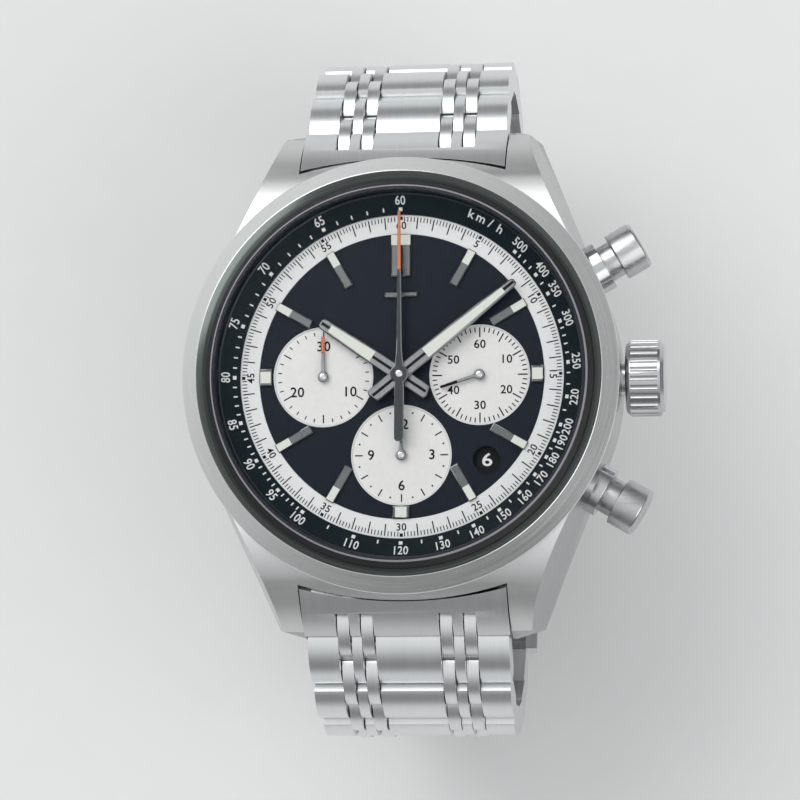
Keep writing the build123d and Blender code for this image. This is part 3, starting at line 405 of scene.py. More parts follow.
def revolve(
    bm: bmesh.types.BMesh, outline: list[Point2], centre: Point2 = (0.0, 0.0)
) -> list[bmesh.types.BMFace]:
    """Spin an (r, z) outline in millimetres about a vertical axis.

    Args:
        bm: mesh that takes the new faces.
        outline: corners of the closed outline, or of an open one that starts and ends on the axis.
        centre: the axis.

    Returns:
        The new faces.
    """
    before = set(bm.faces)
    corners = [bm.verts.new((centre[0] * MM + r * MM, centre[1] * MM, z * MM)) for r, z in outline]
    closed = outline[0][0] > 0 or outline[-1][0] > 0
    pairs = list(zip(corners, corners[1:])) + ([(corners[-1], corners[0])] if closed else [])
    edges = [bm.edges.new(pair) for pair in pairs]
    axis = (centre[0] * MM, centre[1] * MM, 0)
    bmesh.ops.spin(
        bm, geom=corners + edges, cent=axis, axis=(0, 0, 1), angle=FULL_TURN, steps=SPIN_STEPS,
        use_merge=True,
    )
    bmesh.ops.remove_doubles(bm, verts=bm.verts, dist=SPIN_MERGE)
    return [f for f in bm.faces if f not in before]


def plate(
    bm: bmesh.types.BMesh, outline: list[Point2], low: float, high: float, place: Matrix | None = None,
    edge: float = 0.0, finish: int = 0, edge_finish: int = 0,
) -> None:
    """Extrude a flat outline and ease its upper edge.

    Args:
        bm: mesh that takes the plate.
        outline: corners in millimetres.
        low: height of the underside.
        high: height of the top.
        place: where the plate goes, in millimetres.
        edge: width of the bevel round the top.
        finish: material number of the plate.
        edge_finish: material number of the bevel.
    """
    corners = [bm.verts.new((x, y, low)) for x, y in outline]
    floor = bm.faces.new(corners)
    lifted = bmesh.ops.extrude_face_region(bm, geom=[floor])["geom"]
    top_verts = [v for v in lifted if isinstance(v, bmesh.types.BMVert)]
    bmesh.ops.translate(bm, verts=top_verts, vec=(0, 0, high - low))
    faces = {f for v in corners + top_verts for f in v.link_faces}
    for face in faces:
        face.material_index = finish
    verts = set(corners + top_verts)
    if edge:
        top_edges = [e for e in lifted if isinstance(e, bmesh.types.BMEdge)]
        eased = bmesh.ops.bevel(
            bm, geom=top_edges, offset=edge, segments=1, profile=0.5, affect="EDGES", material=-1,
        )
        for face in eased["faces"]:
            face.material_index = edge_finish
        verts = {v for v in verts if v.is_valid} | set(eased["verts"])
    bmesh.ops.transform(bm, matrix=Matrix.Scale(MM, 4) @ (place or Matrix()), verts=list(verts))


def bar_outline(length: float, width: float) -> list[Point2]:
    """Corners of a bar along Y, centred on the origin.

    Args:
        length: its size along Y.
        width: its size along X.

    Returns:
        The four corners.
    """
    x, y = width / 2, length / 2
    return [(-x, -y), (x, -y), (x, y), (-x, y)]


def on_clock(degrees: float, radius: float, centre: Point2 = (0.0, 0.0)) -> Matrix:
    """Place at a clock bearing, with local Y pointing outwards, in millimetres.

    Args:
        degrees: the bearing, clockwise from 12 o'clock.
        radius: distance from the centre.
        centre: middle of the clock.

    Returns:
        The placement.
    """
    a = math.radians(degrees)
    spot = Vector((centre[0] + radius * math.sin(a), centre[1] + radius * math.cos(a), 0))
    return Matrix.Translation(spot) @ Matrix.Rotation(-a, 4, "Z")


def lettering(bm: bmesh.types.BMesh, text: str, size: float, place: Matrix) -> None:
    """Add printed figures.

    Args:
        bm: mesh that takes the figures.
        text: the figures.
        size: height of the type in millimetres.
        place: where their middle goes, in millimetres.
    """
    curve = bpy.data.curves.new("figures", "FONT")
    curve.body = text
    curve.size = size
    curve.align_x = "CENTER"
    curve.align_y = "CENTER"
    curve.extrude = PRINT_THICK / 2
    curve.offset = TYPE_WEIGHT * size
    curve.resolution_u = TYPE_STEPS
    curve.space_character = TYPE_SPACING
    holder = bpy.data.objects.new("figures", curve)
    mesh = bpy.data.meshes.new_from_object(holder)
    mesh.transform(Matrix.Scale(MM, 4) @ place)
    bm.from_mesh(mesh)
    bpy.data.objects.remove(holder)
    bpy.data.meshes.remove(mesh)
    bpy.data.curves.remove(curve)


def refined(
    node: str, edge: float, finishes: list[Finish], body: str, sharp: float = 28.0
) -> bpy.types.Object:
    """Copy a CAD node, merge it, ease its sharp edges and let the copy stand for the node.

    Args:
        node: name of the CAD node.
        edge: width of the eased edges in millimetres.
        finishes: the main finish, then that of the eased edges.
        body: body that the piece moves with.
        sharp: angle above which an edge is eased, in degrees.

    Returns:
        The new piece.
    """
    bm = bmesh.new()
    bm.from_mesh(frame["nodes"][node].data)
    bmesh.ops.remove_doubles(bm, verts=bm.verts, dist=CAD_MERGE)
    for face in bm.faces:
        face.material_index = 0
    bmesh.ops.dissolve_limit(
        bm, angle_limit=math.radians(FLAT_ANGLE), use_dissolve_boundaries=False, verts=bm.verts,
        edges=bm.edges,
    )
    limit = math.radians(sharp)
    creases = [
        e for e in bm.edges
        if e.is_manifold and e.calc_face_angle(0.0) > limit and e.calc_length() > edge * MM * 2
    ]
    eased = bmesh.ops.bevel(
        bm, geom=creases, offset=edge * MM, segments=2, profile=0.5, affect="EDGES", material=-1,
        clamp_overlap=True,
    )
    if len(finishes) > 1:
        for face in eased["faces"]:
            face.material_index = 1
    made = piece(f"{node}_finished", bm, finishes, body, REFINED_SHARP, recalc=False)
    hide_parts(node)
    return made


# ---- sub-assemblies ----


@dataclass
class Case:
    """The case: middle with its lugs, bezel, glass, seals and back."""

    rim_r: float = 21.1
    crest_r: float = 19.5
    inner_r: float = 18.65
    glass_r: float = 18.15
    ground_r: float = 17.98
    crest: float = 13.0
    seat: float = 11.2
    seal_top: Point2 = (12.5, 12.3)
    rim_height: float = 0.25
    rim_ease: Point2 = (0.05, 0.09)
    crest_ease: float = 0.06
    bevel_depth: float = 0.7
    glass_edge: float = 0.8
    glass_chamfer: float = 0.45
    glass_ease: Point2 = (0.25, 0.05)
    glass_rings: int = 12
    middle_ease: float = 0.09
    back_ease: float = 0.1

    def build(self) -> None:
        """Build and dress the case."""
        middle = refined(
            # The third finish is the flanks' darkened steel: painted shade.
            "case_middle", self.middle_ease, [LUG_SATIN, POLISH, FLANK_PAINTED_SHADE], "root", sharp=20.0,
        )
        self._paint_flank_shade(middle)
        self._bezel()
        self._glass()
        self._seal()
        refined("case_back", self.back_ease, [CONE_SATIN, POLISH], "root")

    @staticmethod
    def _paint_flank_shade(middle: bpy.types.Object) -> None:
        """Paint shade onto the flanks of the case and the narrow facets above them, by giving them a darkened
        steel that stands in for the dark surroundings they reflect.

        Args:
            middle: the case middle, whose third material is the flanks'.
        """
        for face in middle.data.polygons:
            facet = abs(face.normal.x) > 0.3 and 0.1 < face.normal.z < 0.93
            if facet or (abs(face.normal.z) < 0.45 and face.material_index == 0):
                face.material_index = 2

    def _bezel(self) -> None:
        """Turn the bezel: a bright cone outside its crest and, inside it, a bevel whose steel is darkened as
        painted shade for the dark surroundings it reflects.
        """
        rim_top = self.seat + self.rim_height
        ease, (rim_in, rim_up) = self.crest_ease, self.rim_ease
        outline = [
            (self.inner_r, self.seat), (self.rim_r, self.seat), (self.rim_r, rim_top),
            (self.rim_r - rim_in, rim_top + rim_up), (self.crest_r + ease, self.crest - ease / 3),
            (self.crest_r, self.crest), (self.crest_r - ease, self.crest - ease / 2),
            (self.inner_r, self.crest - self.bevel_depth),
        ]
        bm = bmesh.new()
        faces = revolve(bm, outline)
        for face in faces:
            r = face.calc_center_median().xy.length / MM
            if r < self.crest_r - ease / 2:
                # The inner bevel takes the darkened steel: painted shade.
                face.material_index = 1
        made = piece("bezel_finished", bm, [CONE_SATIN, BEVEL_PAINTED_SHADE], "root", sharp=14)
        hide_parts("bezel")

    def _glass(self) -> None:
        """Turn the domed glass, clear over the dial and brighter at its ground edge."""
        low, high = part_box("crystal")
        bottom, top = low.z / MM, high.z / MM
        edge = bottom + self.glass_edge
        rim = self.glass_r - self.glass_chamfer
        wall_drop, ground_drop = self.glass_ease
        dome = (rim**2 + (top - edge) ** 2) / (2 * (top - edge))
        rings = [rim * step / self.glass_rings for step in range(self.glass_rings, -1, -1)]
        outline = [
            (0.0, bottom), (rim, bottom), (self.glass_r, bottom), (self.glass_r, edge - wall_drop),
            (self.ground_r, edge - ground_drop),
        ]
        outline += [(r, top - dome + math.sqrt(dome**2 - r**2)) for r in rings]
        bm = bmesh.new()
        for face in revolve(bm, outline):
            r = face.calc_center_median().xy.length / MM
            if r > self.ground_r - 0.02:
                face.material_index = 1
            elif r > rim:
                face.material_index = 2
        made = piece("crystal_finished", bm, [CLEAR_GLASS, GROUND_EDGE, DEEP_EDGE], "root")
        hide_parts("crystal")
        dress("case_back_window", WINDOW_GLASS)

    def _seal(self) -> None:
        """Turn the black seal between glass and bezel."""
        inner_top, outer_top = self.seal_top
        bm = bmesh.new()
        revolve(bm, [
            (self.glass_r, self.seat), (self.inner_r, self.seat), (self.inner_r, outer_top),
            (self.glass_r, inner_top),
        ])
        made = piece("crystal_gasket_finished", bm, [SEAL], "root")
        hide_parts("crystal_gasket")


@dataclass
class TachymeterRing:
    """The sloped scale ring round the dial."""

    inner_r: float = 15.7
    line_r: float = 17.6
    outer_r: float = 18.0
    low: float = 10.25
    line_z: float = 11.2
    top: float = 12.3
    line_width: float = 0.1
    type_size: float = 1.28
    type_narrow: float = 0.8
    text_r: float = 16.93
    text_lift: float = 0.012
    mark_in: float = 0.46
    square_mark: float = 0.36
    small_mark: Point2 = (0.4, 0.14)
    unit: str = "km/h"
    unit_from: float = 24.0
    unit_step: float = 3.6
    speeds_out: tuple[int, ...] = (60, 65, 70, 75, 80, 250, 300, 350, 400, 500)
    speeds_in: tuple[int, ...] = (85, 90, 95, 100, 110, 120, 130, 140, 150, 160, 170, 180, 190, 200, 220)

    def height(self, r: float) -> float:
        """Height of the slope at a radius.

        Args:
            r: the radius.

        Returns:
            The height.
        """
        rise = (self.line_z - self.low) / (self.line_r - self.inner_r)
        return self.low + (r - self.inner_r) * rise

    def build(self) -> None:
        """Build the ring, its bright outer line and its printed scale."""
        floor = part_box("tachymeter_ring")[0].z / MM
        bm = bmesh.new()
        revolve(bm, [
            (self.inner_r, floor), (self.outer_r, floor), (self.outer_r, self.top),
            (self.line_r + 0.05, self.top), (self.line_r, self.line_z), (self.inner_r, self.low),
        ])
        ring = piece("tachymeter_ring_finished", bm, [FLANGE_BLACK], "root", sharp=12)
        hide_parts("tachymeter_ring")
        bm = bmesh.new()
        line_in, stand = self.line_r - self.line_width, self.line_width / 2
        revolve(bm, [
            (line_in, self.line_z - stand), (self.line_r, self.line_z - 0.02),
            (self.line_r, self.line_z + stand), (line_in, self.line_z),
        ])
        piece("flange_line", bm, [HAND_DARK], "root")
        self._scale()

    def _scale(self) -> None:
        """Print the speeds with a mark at each and small marks between."""
        slope = math.atan2(self.line_z - self.low, self.line_r - self.inner_r)
        bm = bmesh.new()
        for speed in self.speeds_out + self.speeds_in:
            bearing = self._bearing(speed)
            place = self._text_place(bearing, slope)
            if speed in self.speeds_in:
                place = place @ Matrix.Rotation(math.pi, 4, "Z")
            narrow = Matrix.Scale(self.type_narrow, 4, (1, 0, 0))
            lettering(bm, str(speed), self.type_size, place @ narrow)
            self._mark(bm, bearing, slope, (self.square_mark, self.square_mark))
        for bearing in self._small_marks():
            self._mark(bm, bearing, slope, self.small_mark)
        for step, letter in enumerate(self.unit):
            place = self._text_place(self.unit_from + self.unit_step * step, slope)
            lettering(bm, letter, self.type_size, place)
        piece("tachymeter_scale", bm, [PRINT_WHITE], "root", recalc=False)

    @staticmethod
    def _bearing(speed: int) -> float:
        """Bearing of a speed: the seconds that one kilometre takes, round the dial."""
        return 360 * 60 / speed

    def _text_place(self, bearing: float, slope: float) -> Matrix:
        """Place a figure on the slope.

        Args:
            bearing: its bearing in degrees.
            slope: angle of the slope.

        Returns:
            The placement.
        """
        lift = Matrix.Translation((0, 0, self.height(self.text_r) + self.text_lift))
        return on_clock(bearing, self.text_r) @ lift @ Matrix.Rotation(slope, 4, "X")

    def _small_marks(self) -> list[float]:
        """Bearings of the marks between the figures.

        Returns:
            The bearings in degrees.
        """
        figured = self.speeds_out + self.speeds_in
        values = [speed for speed in range(61, 100) if speed not in figured]
        values += range(105, 200, 10)
        values += (210, 230, 240, 260, 270, 280, 290, 325, 375, 425, 450, 475)
        return [self._bearing(value) for value in values]

    def _mark(self, bm: bmesh.types.BMesh, bearing: float, slope: float, size: Point2) -> None:
        """Print one mark beside the minute track.

        Args:
            bm: mesh that takes the mark.
            bearing: its bearing in degrees.
            slope: angle of the slope.
            size: its length and width.
        """
        r = self.inner_r + self.mark_in
        place = on_clock(bearing, r) @ Matrix.Translation((0, 0, self.height(r)))
        plate(bm, bar_outline(*size), 0.004, 0.018, place @ Matrix.Rotation(slope, 4, "X"))


@dataclass
class Dial:
    """The dial: black plate, minute track, subdials, markers and date window."""

    track: Point2 = (13.8, 15.68)
    subdial_r: float = 4.83
    minute_counter: Point2 = (-7.58, 0.0)
    small_seconds: Point2 = (7.58, 0.0)
    hour_counter: Point2 = (0.0, -7.66)
    date_r: float = 11.6
    date_bearing: float = 135.0
    window_r: float = 1.3
    track_thick: float = 0.06
    sunk: float = 0.15
    plate_thick: float = 0.02
    hub_r: float = 0.42
    figure_r: float = 2.95
    minute_figure_r: float = 14.62
    date_shown: int = 6
    marker_ease: float = 0.1
    lume_stand: float = 0.02
    top: float = field(init=False)

    def __post_init__(self) -> None:
        """Read the height of the dial from its CAD node."""
        self.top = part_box("dial")[1].z / MM

    def build(self) -> None:
        """Build and dress the dial."""
        dress("dial", DIAL_BLACK)
        self._track()
        for centre in (self.minute_counter, self.small_seconds, self.hour_counter):
            self._subdial(centre)
        self._subdial_print()
        self._markers()
        self._date()

    def _track(self) -> None:
        """Build the light minute track and its print."""
        inner, outer = self.track
        high = self.top + self.track_thick
        bm = bmesh.new()
        revolve(bm, [(inner, self.top), (outer, self.top), (outer, high), (inner + 0.03, high)])
        piece("minute_track", bm, [TRACK_SILVER], "root", sharp=10)
        bm = bmesh.new()
        for step in range(300):
            bearing = step * 1.2
            if step % 25 == 0:
                length, width, r = 0.32, 0.3, 15.36
            elif step % 5 == 0:
                length, width, r = 1.15, 0.115, 14.92
            else:
                length, width, r = 0.46, 0.09, 15.26
            plate(bm, bar_outline(length, width), high, high + PRINT_THICK, on_clock(bearing, r))
        for minute in range(5, 61, 5):
            bearing = minute * 6
            place = on_clock(bearing, self.minute_figure_r) @ Matrix.Translation((0, 0, high + PRINT_LIFT))
            if 90 < bearing < 270:
                place = place @ Matrix.Rotation(math.pi, 4, "Z")
            lettering(bm, str(minute), 1.0, place)
        piece("minute_track_print", bm, [PRINT_BLACK], "root", recalc=False)

    def _subdial(self, centre: Point2) -> None:
        """Build one silver subdial with a turned rim.

        Args:
            centre: its middle.
        """
        floor, rim, lip = self.top - self.sunk, self.subdial_r, self.subdial_r + 0.03
        thick = self.plate_thick
        outline = [
            (self.hub_r, floor), (self.hub_r, floor + thick), (rim - 0.16, floor + thick),
            (rim - 0.02, self.top + thick), (lip, self.top + thick), (lip, self.top), (rim, floor),
        ]
        bm = bmesh.new()
        for face in revolve(bm, outline, centre):
            middle = face.calc_center_median().xy - Vector(centre) * MM
            if middle.length / MM > rim - 0.15:
                face.material_index = 1
        counted = {
            self.minute_counter: "minutes", self.small_seconds: "seconds", self.hour_counter: "hours",
        }[centre]
        finishes = [SUBDIAL_SILVER, TRACK_SILVER]
        piece(f"subdial_{counted}", bm, finishes, "root", sharp=25)

    def _subdial_print(self) -> None:
        """Print the scales of the three subdials."""
        high = self.top - self.sunk + 0.022
        bm = bmesh.new()
        self._divisions(bm, high, self.small_seconds, 60, 4.6, (0.95, 0.13), (0.45, 0.11))
        self._divisions(bm, high, self.minute_counter, 30, 4.45, (0.8, 0.12), (0.36, 0.1))
        for step in range(24):
            if step % 2:
                size, r = (0.16, 0.16), 4.2
            else:
                size, r = (0.75, 0.12), 4.5 - 0.75 / 2
            place = on_clock(step * 15, r, self.hour_counter)
            plate(bm, bar_outline(*size), high, high + PRINT_THICK, place)
        scales = {
            self.small_seconds: ((60, 0), (10, 60), (20, 120), (30, 180), (40, 240), (50, 300)),
            self.minute_counter: ((30, 0), (10, 120), (20, 240)),
            self.hour_counter: ((12, 0), (3, 90), (6, 180), (9, 270)),
        }
        for centre, figures in scales.items():
            size = 1.15 if centre == self.small_seconds else 1.35
            for figure, bearing in figures:
                spot = on_clock(bearing, self.figure_r, centre).translation
                lettering(bm, str(figure), size, Matrix.Translation((spot.x, spot.y, high + PRINT_LIFT)))
        piece("subdial_print", bm, [PRINT_BLACK], "root", recalc=False)

    @staticmethod
    def _divisions(
        bm: bmesh.types.BMesh, high: float, centre: Point2, count: int, outer_r: float, long_size: Point2,
        short_size: Point2,
    ) -> None:
        """Print the divisions of one subdial, every fifth one longer.

        Args:
            bm: mesh that takes the print.
            high: height of the subdial's face.
            centre: its middle.
            count: number of divisions.
            outer_r: radius of their outer ends.
            long_size: length and width of every fifth one.
            short_size: length and width of the others.
        """
        for step in range(count):
            length, width = short_size if step % 5 else long_size
            place = on_clock(step * 360 / count, outer_r - length / 2, centre)
            plate(bm, bar_outline(length, width), high, high + PRINT_THICK, place)

    def _markers(self) -> None:
        """Build the applied hour markers with their lume tips."""
        low, high = self.top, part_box("hour_markers")[1].z / MM
        metal, lume = bmesh.new(), bmesh.new()

        def block(length: float, width: float, place: Matrix) -> None:
            """Add a bevelled metal block."""
            plate(metal, bar_outline(length, width), low, high, place, self.marker_ease, 0, 1)

        def paint(length: float, width: float, place: Matrix) -> None:
            """Add a patch of lume."""
            stand = self.lume_stand
            plate(lume, bar_outline(length, width), high - stand, high + stand, place)

        for hour in (1, 2, 4, 5, 7, 8, 10, 11):
            block(3.8, 0.85, on_clock(HOUR * hour, 12.0))
            paint(1.42, 0.72, on_clock(HOUR * hour, 13.12))
        for hour in (3, 6, 9):
            block(1.13, 1.66, on_clock(HOUR * hour, 13.17))
            paint(1.0, 1.1, on_clock(HOUR * hour, 13.17))
        for side in (-0.55, 0.55):
            block(4.05, 0.8, Matrix.Translation((side, 11.68, 0)))
        paint(1.0, 1.86, Matrix.Translation((0, 13.2, 0)))
        block(0.5, 3.2, Matrix.Translation((0, 7.9, 0)))
        made = piece("hour_markers_finished", metal, [MARKER_SATIN, HAND_EDGE], "root")
        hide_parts("hour_markers")
        piece("hour_marker_lume", lume, [LUME], "root")

    def _date(self) -> None:
        """Build the window's bevelled frame and the figures of the date disc."""
        a = math.radians(self.date_bearing)
        centre = (self.date_r * math.sin(a), self.date_r * math.cos(a))
        r = self.window_r
        bm = bmesh.new()
        revolve(bm, [
            (r, self.top - 0.35), (r + 0.02, self.top - 0.35), (r + 0.14, self.top + 0.05),
            (r + 0.05, self.top + 0.05),
        ], centre)
        piece("date_frame", bm, [FLANGE_BLACK], "root")
        disc_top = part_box("date_disc")[1].z / MM
        dress("date_disc", PRINT_BLACK)
        bm = bmesh.new()
        for day in range(1, 32):
            turn = (day - self.date_shown) * 360 / 31
            place = Matrix.Rotation(math.radians(turn), 4, "Z")
            place = place @ Matrix.Translation((*centre, disc_top + PRINT_LIFT))
            lettering(bm, str(day), 1.75, place @ Matrix.Scale(1.25, 4, (1, 0, 0)))
        piece("date_figures", bm, [PRINT_WHITE], "date_disc", recalc=False)


@dataclass
class TimeHand:
    """An hour or minute hand: a slotted steel bar with a lume inlay, on a tube of its own."""

    node: str
    body: str
    length: float
    tail: float
    width: float
    tip: float
    bearing: float
    lume_to: float
    bore: float
    wall: float
    lume_from: float = 3.2
    thick: float = 0.25
    slot_half: float = 0.14

    def build(self) -> None:
        """Build the hand round the CAD node's height."""
        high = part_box(self.node)[1].z / MM
        low = high - self.thick
        place = Matrix.Rotation(-math.radians(self.bearing), 4, "Z")
        half, tip = self.width / 2, self.tip / 2
        outline = [
            (-half * 0.5, -self.tail), (half * 0.9, -self.tail + 0.3), (half, -self.tail + 0.9), (half, 1.5),
            (half * 0.98, self.length * 0.5), (tip, self.length - 0.25), (tip * 0.6, self.length),
            (-tip * 0.6, self.length), (-tip, self.length - 0.25), (-half * 0.98, self.length * 0.5),
            (-half, 1.5), (-half, -self.tail + 0.2),
        ]
        bm = bmesh.new()
        plate(bm, outline, low, high, place, 0.1, 0, 1)
        made = piece(f"{self.node}_finished", bm, [HAND_SATIN, HAND_EDGE], self.body)
        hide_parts(self.node)
        self._arbor(low)
        self._inlays(high, place, half, tip)

    def _arbor(self, low: float) -> None:
        """Turn the tube that carries the hand.

        Args:
            low: height of its upper end.
        """
        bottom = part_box(self.node)[0].z / MM
        bm = bmesh.new()
        revolve(bm, [(self.bore, bottom), (self.wall, bottom), (self.wall, low), (self.bore, low)])
        piece(f"{self.node}_tube", bm, [HAND_EDGE], self.body)

    def _inlays(self, high: float, place: Matrix, half: float, tip: float) -> None:
        """Lay the black slot and the lume into the top of the hand.

        Args:
            high: height of the top.
            place: placement of the hand.
            half: half the width at the middle.
            tip: half the width at the end.
        """
        slot = self.slot_half
        black = bmesh.new()
        for start, end in ((-self.tail + 0.3, self.lume_from), (self.lume_to, self.length - 0.15)):
            outline = [(-slot, start), (slot, start), (slot, end), (-slot, end)]
            plate(black, outline, high - 0.01, high + 0.008, place)
        piece(f"{self.node}_slot", black, [PRINT_BLACK], self.body)
        near = half * 0.76
        far = (tip + (half - tip) * 0.2) * 0.62
        bm = bmesh.new()
        outline = [(-near, self.lume_from), (near, self.lume_from), (far, self.lume_to), (-far, self.lume_to)]
        plate(bm, outline, high - 0.01, high + 0.03, place, 0.02)
        piece(f"{self.node}_lume", bm, [LUME], self.body)


@dataclass
class Pointer:
    """A slim counter or seconds hand with a round hub and a coloured end.

    near and tip are half widths of the blade, at the hub and at its end. flare is how far the hub runs out
    into the blade. A colour_from of 0 leaves the end plain.
    """

    node: str
    body: str
    length: float
    near: float
    tip: float
    bearing: float
    tail: float = 0.55
    hub: float = 0.52
    tail_width: float = 0.3
    centre: Point2 = (0.0, 0.0)
    colour_from: float = 0.0
    end_finish: Finish = ORANGE
    finish: Finish = HAND_SATIN
    edge: float = 0.07
    cap: float = 0.3
    flare: float = 0.0
    thick: float = 0.22
    arbor_r: float = 0.28

    def build(self) -> None:
        """Build the hand round the CAD node's height."""
        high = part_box(self.node)[1].z / MM
        low = high - self.thick
        place = on_clock(self.bearing, 0.0, self.centre)
        split = self.colour_from or self.length
        mid = self.near + (self.tip - self.near) * split / self.length
        bm = bmesh.new()
        plate(bm, self._outline(split, mid), low, high, place, self.edge, 0, 1)
        made = piece(f"{self.node}_finished", bm, [self.finish, HAND_EDGE], self.body)
        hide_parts(self.node)
        if self.colour_from:
            bm = bmesh.new()
            outline = [(-mid, split), (mid, split), (self.tip, self.length), (-self.tip, self.length)]
            plate(bm, outline, low, high, place, 0.04)
            piece(f"{self.node}_end", bm, [self.end_finish], self.body)
        self._cap(high, low)

    def _outline(self, end: float, end_half: float) -> list[Point2]:
        """Outline of the hand: tail, bulb and slim blade, as half widths mirrored about Y.

        Args:
            end: distance at which the outline ends.
            end_half: half the width there.

        Returns:
            The corners.
        """
        tail = self.tail_width / 2
        shoulder = -self.hub * (1 + self.flare * 0.9)
        right: list[Point2] = []
        bearings = range(-80, 81, 16)
        if self.tail > self.hub * 2:
            right = [(tail * 0.6, -self.tail), (tail, -self.tail + 0.25), (tail, shoulder)]
            bearings = range(-60, 61, 20)
        for bearing in bearings:
            a = math.radians(bearing)
            if self.hub * math.cos(a) > self.near or bearing < 0:
                right.append((self.hub * math.cos(a), self.hub * math.sin(a)))
        right += [(self.near, self.hub * (1.3 + self.flare)), (end_half, end)]
        return right + [(-x, y) for x, y in reversed(right)]

    def _cap(self, high: float, low: float) -> None:
        """Turn the arbor and its bright cap.

        Args:
            high: height of the blade's top.
            low: height of its underside.
        """
        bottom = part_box(self.node)[0].z / MM
        dish, shoulder, crown = high + 0.04, high + 0.05, high + 0.09
        bm = bmesh.new()
        revolve(bm, [
            (0, bottom), (self.arbor_r, bottom), (self.arbor_r, low), (self.cap, high), (self.cap, shoulder),
            (self.cap * 0.75, crown), (self.cap * 0.45, crown), (self.cap * 0.4, dish), (0, dish),
        ], self.centre)
        piece(f"{self.node}_cap", bm, [HAND_EDGE], self.body)


@dataclass
class Bracelet:
    """The end links, links and clasp."""

    upper: int = 7
    lower: int = 6
    end_ease: float = 0.09
    link_ease: float = 0.11
    clasp_ease: float = 0.1
    button_ease: float = 0.12

    def build(self) -> None:
        """Ease and dress every piece of the bracelet."""
        for label, count in (("upper", self.upper), ("lower", self.lower)):
            refined(f"{label}_end_link", self.end_ease, [LINK_SATIN, POLISH], "root")
            for index in range(1, count + 1):
                name = f"{label}_link_{index}"
                refined(name, self.link_ease, [LINK_SATIN, POLISH], name)
        for name in ("clasp_cover", "clasp_middle_blade", "clasp_inner_blade"):
            outside = name == "clasp_cover"
            finish, slot = (LINK_SATIN, "link_steel") if outside else (POLISH, "polished_steel")
            refined(name, self.clasp_ease, [finish, POLISH], name)
        for side in ("left", "right"):
            name = f"clasp_button_{side}"
            refined(name, self.button_ease, [POLISH], name)


@dataclass
class Controls:
    """The crown, pushers and their collars."""

    start_angle: float = 30.0
    reset_angle: float = -30.0
    spring_seat: float = 18.75
    spring_keep: float = 0.66
    crown_ease: float = 0.06
    pusher_ease: float = 0.08
    tube_ease: float = 0.05

    def build(self) -> None:
        """Ease and dress the controls, and give each pusher's spring a mesh of its own."""
        refined("crown", self.crown_ease, [POLISH, POLISH], "crown")
        for label, angle in (("start", self.start_angle), ("reset", self.reset_angle)):
            name = f"{label}_pusher"
            refined(name, self.pusher_ease, [SATIN_TURNED, POLISH], name)
            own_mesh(frame["nodes"][f"{name}_spring"])
        refined("crown_and_pusher_tubes", self.tube_ease, [POLISH, POLISH], "root")


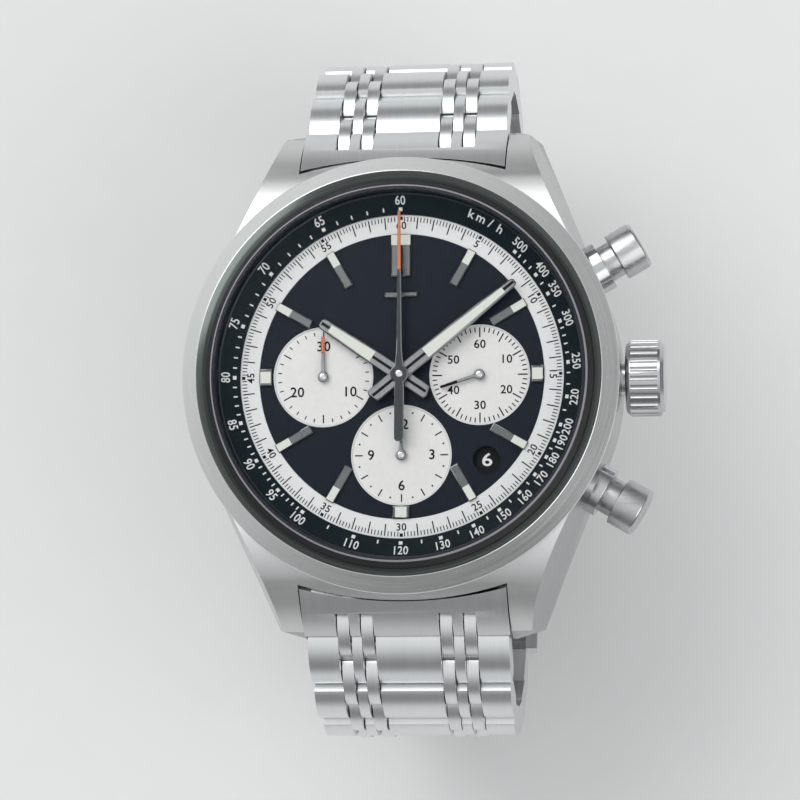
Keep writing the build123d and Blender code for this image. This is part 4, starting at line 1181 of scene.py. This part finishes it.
@dataclass
class Studio:
    """Floor, light and camera."""

    dial_point: Point3 = (-0.13, -2.33, 9.9)
    towards: Point3 = (0.127, -0.122, 1.0)
    distance: float = 330.0
    view_width: float = 76.9
    sensor: float = 36.0
    floor_gap: float = 0.4
    floor_half: float = 2.0
    lamp_size: float = 0.6
    lamps: tuple[tuple[str, Point3, float], ...] = (
        ("key", (-0.25, 0.35, 0.55), 2.0), ("fill", (0.4, -0.25, 0.45), 1.0),
    )
    sky_stops: tuple[Point2, ...] = ((0.0, 0.7), (0.1, 0.34), (0.4, 0.36), (0.7, 0.68), (1.0, 1.0))
    sky_tint: RGB = (0.985, 1.0, 1.005)
    sky_strength: float = 0.9
    side_span: Point2 = (0.4, 0.95)
    side_light: Point2 = (1.0, 0.68)

    def build(self) -> None:
        """Set up the studio."""
        self._floor()
        self._sky()
        self._lamps()
        self._camera()
        view = bpy.context.scene.view_settings
        view.view_transform = "Standard"
        view.look = "None"

    def _floor(self) -> None:
        """Lay a pale floor under the clasp."""
        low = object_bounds()[0][2] - self.floor_gap * MM
        bm = bmesh.new()
        bmesh.ops.create_grid(bm, x_segments=2, y_segments=2, size=self.floor_half)
        bmesh.ops.translate(bm, verts=bm.verts, vec=(0, 0, low))
        mesh = bpy.data.meshes.new("floor")
        bm.to_mesh(mesh)
        bm.free()
        floor = bpy.data.objects.new("floor", mesh)
        bpy.context.scene.collection.objects.link(floor)
        mesh.materials.append(PAPER.material())
        floor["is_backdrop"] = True

    def _sky(self) -> None:
        """Surround the watch with a soft tent, bright overhead and dimmer to the sides."""
        world = bpy.data.worlds.new("tent")
        bpy.context.scene.world = world
        world.use_nodes = True
        tree = world.node_tree
        tree.nodes.clear()
        place = tree.nodes.new("ShaderNodeTexCoord")
        split = tree.nodes.new("ShaderNodeSeparateXYZ")
        tree.links.new(place.outputs["Generated"], split.inputs["Vector"])
        ramp = tree.nodes.new("ShaderNodeValToRGB")
        elements = ramp.color_ramp.elements
        for position, _ in self.sky_stops[1:-1]:
            elements.new(position)
        for element, (position, value) in zip(elements, self.sky_stops):
            element.position = position
            element.color = (*(value * tint for tint in self.sky_tint), 1)
        tree.links.new(split.outputs["Z"], ramp.inputs["Fac"])
        side = tree.nodes.new("ShaderNodeMath")
        side.operation = "ABSOLUTE"
        tree.links.new(split.outputs["Y"], side.inputs[0])
        shade = tree.nodes.new("ShaderNodeMapRange")
        shade.interpolation_type = "SMOOTHSTEP"
        sockets = ("From Min", "From Max", "To Min", "To Max")
        for socket, value in zip(sockets, self.side_span + self.side_light):
            shade.inputs[socket].default_value = value
        tree.links.new(side.outputs["Value"], shade.inputs["Value"])
        shaded = tree.nodes.new("ShaderNodeVectorMath")
        shaded.operation = "SCALE"
        tree.links.new(ramp.outputs["Color"], shaded.inputs["Vector"])
        tree.links.new(shade.outputs["Result"], shaded.inputs["Scale"])
        glow = tree.nodes.new("ShaderNodeBackground")
        glow.inputs["Strength"].default_value = self.sky_strength
        tree.links.new(shaded.outputs["Vector"], glow.inputs["Color"])
        out = tree.nodes.new("ShaderNodeOutputWorld")
        tree.links.new(glow.outputs["Background"], out.inputs["Surface"])

    def _lamps(self) -> None:
        """Hang the soft lamps, each aimed at the watch."""
        for name, spot, power in self.lamps:
            light = bpy.data.lights.new(name, "AREA")
            light.shape = "DISK"
            light.size = self.lamp_size
            light.energy = power
            lamp = bpy.data.objects.new(name, light)
            lamp.location = spot
            lamp.rotation_euler = (-Vector(spot)).to_track_quat("-Z", "Y").to_euler()
            bpy.context.scene.collection.objects.link(lamp)

    def _camera(self) -> None:
        """Look down on the dial from its lower right, with 12 o'clock up."""
        towards = Vector(self.towards).normalized()
        right = Vector((0, 1, 0)).cross(towards).normalized()
        up = towards.cross(right)
        data = bpy.data.cameras.new("camera")
        data.sensor_width = self.sensor
        data.lens = self.sensor * self.distance / self.view_width
        data.clip_start = 0.01
        camera = bpy.data.objects.new("camera", data)
        turn = Matrix((right, up, towards)).transposed().to_4x4()
        spot = (Vector(self.dial_point) + towards * self.distance) * MM
        camera.matrix_world = Matrix.Translation(spot) @ turn
        bpy.context.scene.collection.objects.link(camera)
        bpy.context.scene.camera = camera


def dress_frame() -> None:
    """Give every CAD node the finish of its material slot."""
    slots = {part["node"]: part["material_slot"] for part in frame["record"]["subparts"]}
    for name in frame["nodes"]:
        finish = SLOT_FINISH.get(slots[name])
        if finish:
            dress(name, finish)


def main() -> None:
    """Build every sub-assembly in order."""
    logging.basicConfig(level=logging.INFO, format="%(name)s: %(message)s")
    dress_frame()
    Case().build()
    TachymeterRing().build()
    dial = Dial()
    dial.build()
    TimeHand(
        "hour_hand", "hour_hand", length=9.3, tail=3.3, width=1.4, tip=1.1, bearing=304.0, lume_to=8.2,
        bore=0.62, wall=0.86,
    ).build()
    TimeHand(
        "minute_hand", "minute_train", length=14.2, tail=3.6, width=1.4, tip=0.8, bearing=51.5, lume_to=12.8,
        bore=0.34, wall=0.58,
    ).build()
    Pointer(
        "chronograph_seconds_hand", "chronograph_seconds", length=15.8, near=0.27, tip=0.13, bearing=0.0,
        tail=6.5, hub=0.88, tail_width=0.95, colour_from=10.1, finish=HAND_DARK, edge=0.1, cap=0.33,
        flare=1.2,
    ).build()
    Pointer(
        "small_seconds_hand", "seconds_train", length=3.95, near=0.17, tip=0.12, bearing=252.4,
        centre=dial.small_seconds, colour_from=2.3, end_finish=PRINT_BLACK,
    ).build()
    Pointer(
        "minute_counter_hand", "minute_counter", length=3.9, near=0.18, tip=0.15, bearing=0.0,
        centre=dial.minute_counter, colour_from=2.35,
    ).build()
    Pointer(
        "hour_counter_hand", "hour_counter", length=3.5, near=0.17, tip=0.1, bearing=0.0,
        centre=dial.hour_counter,
    ).build()
    Controls().build()
    Bracelet().build()
    Studio().build()


if __name__ == "__main__":
    main()
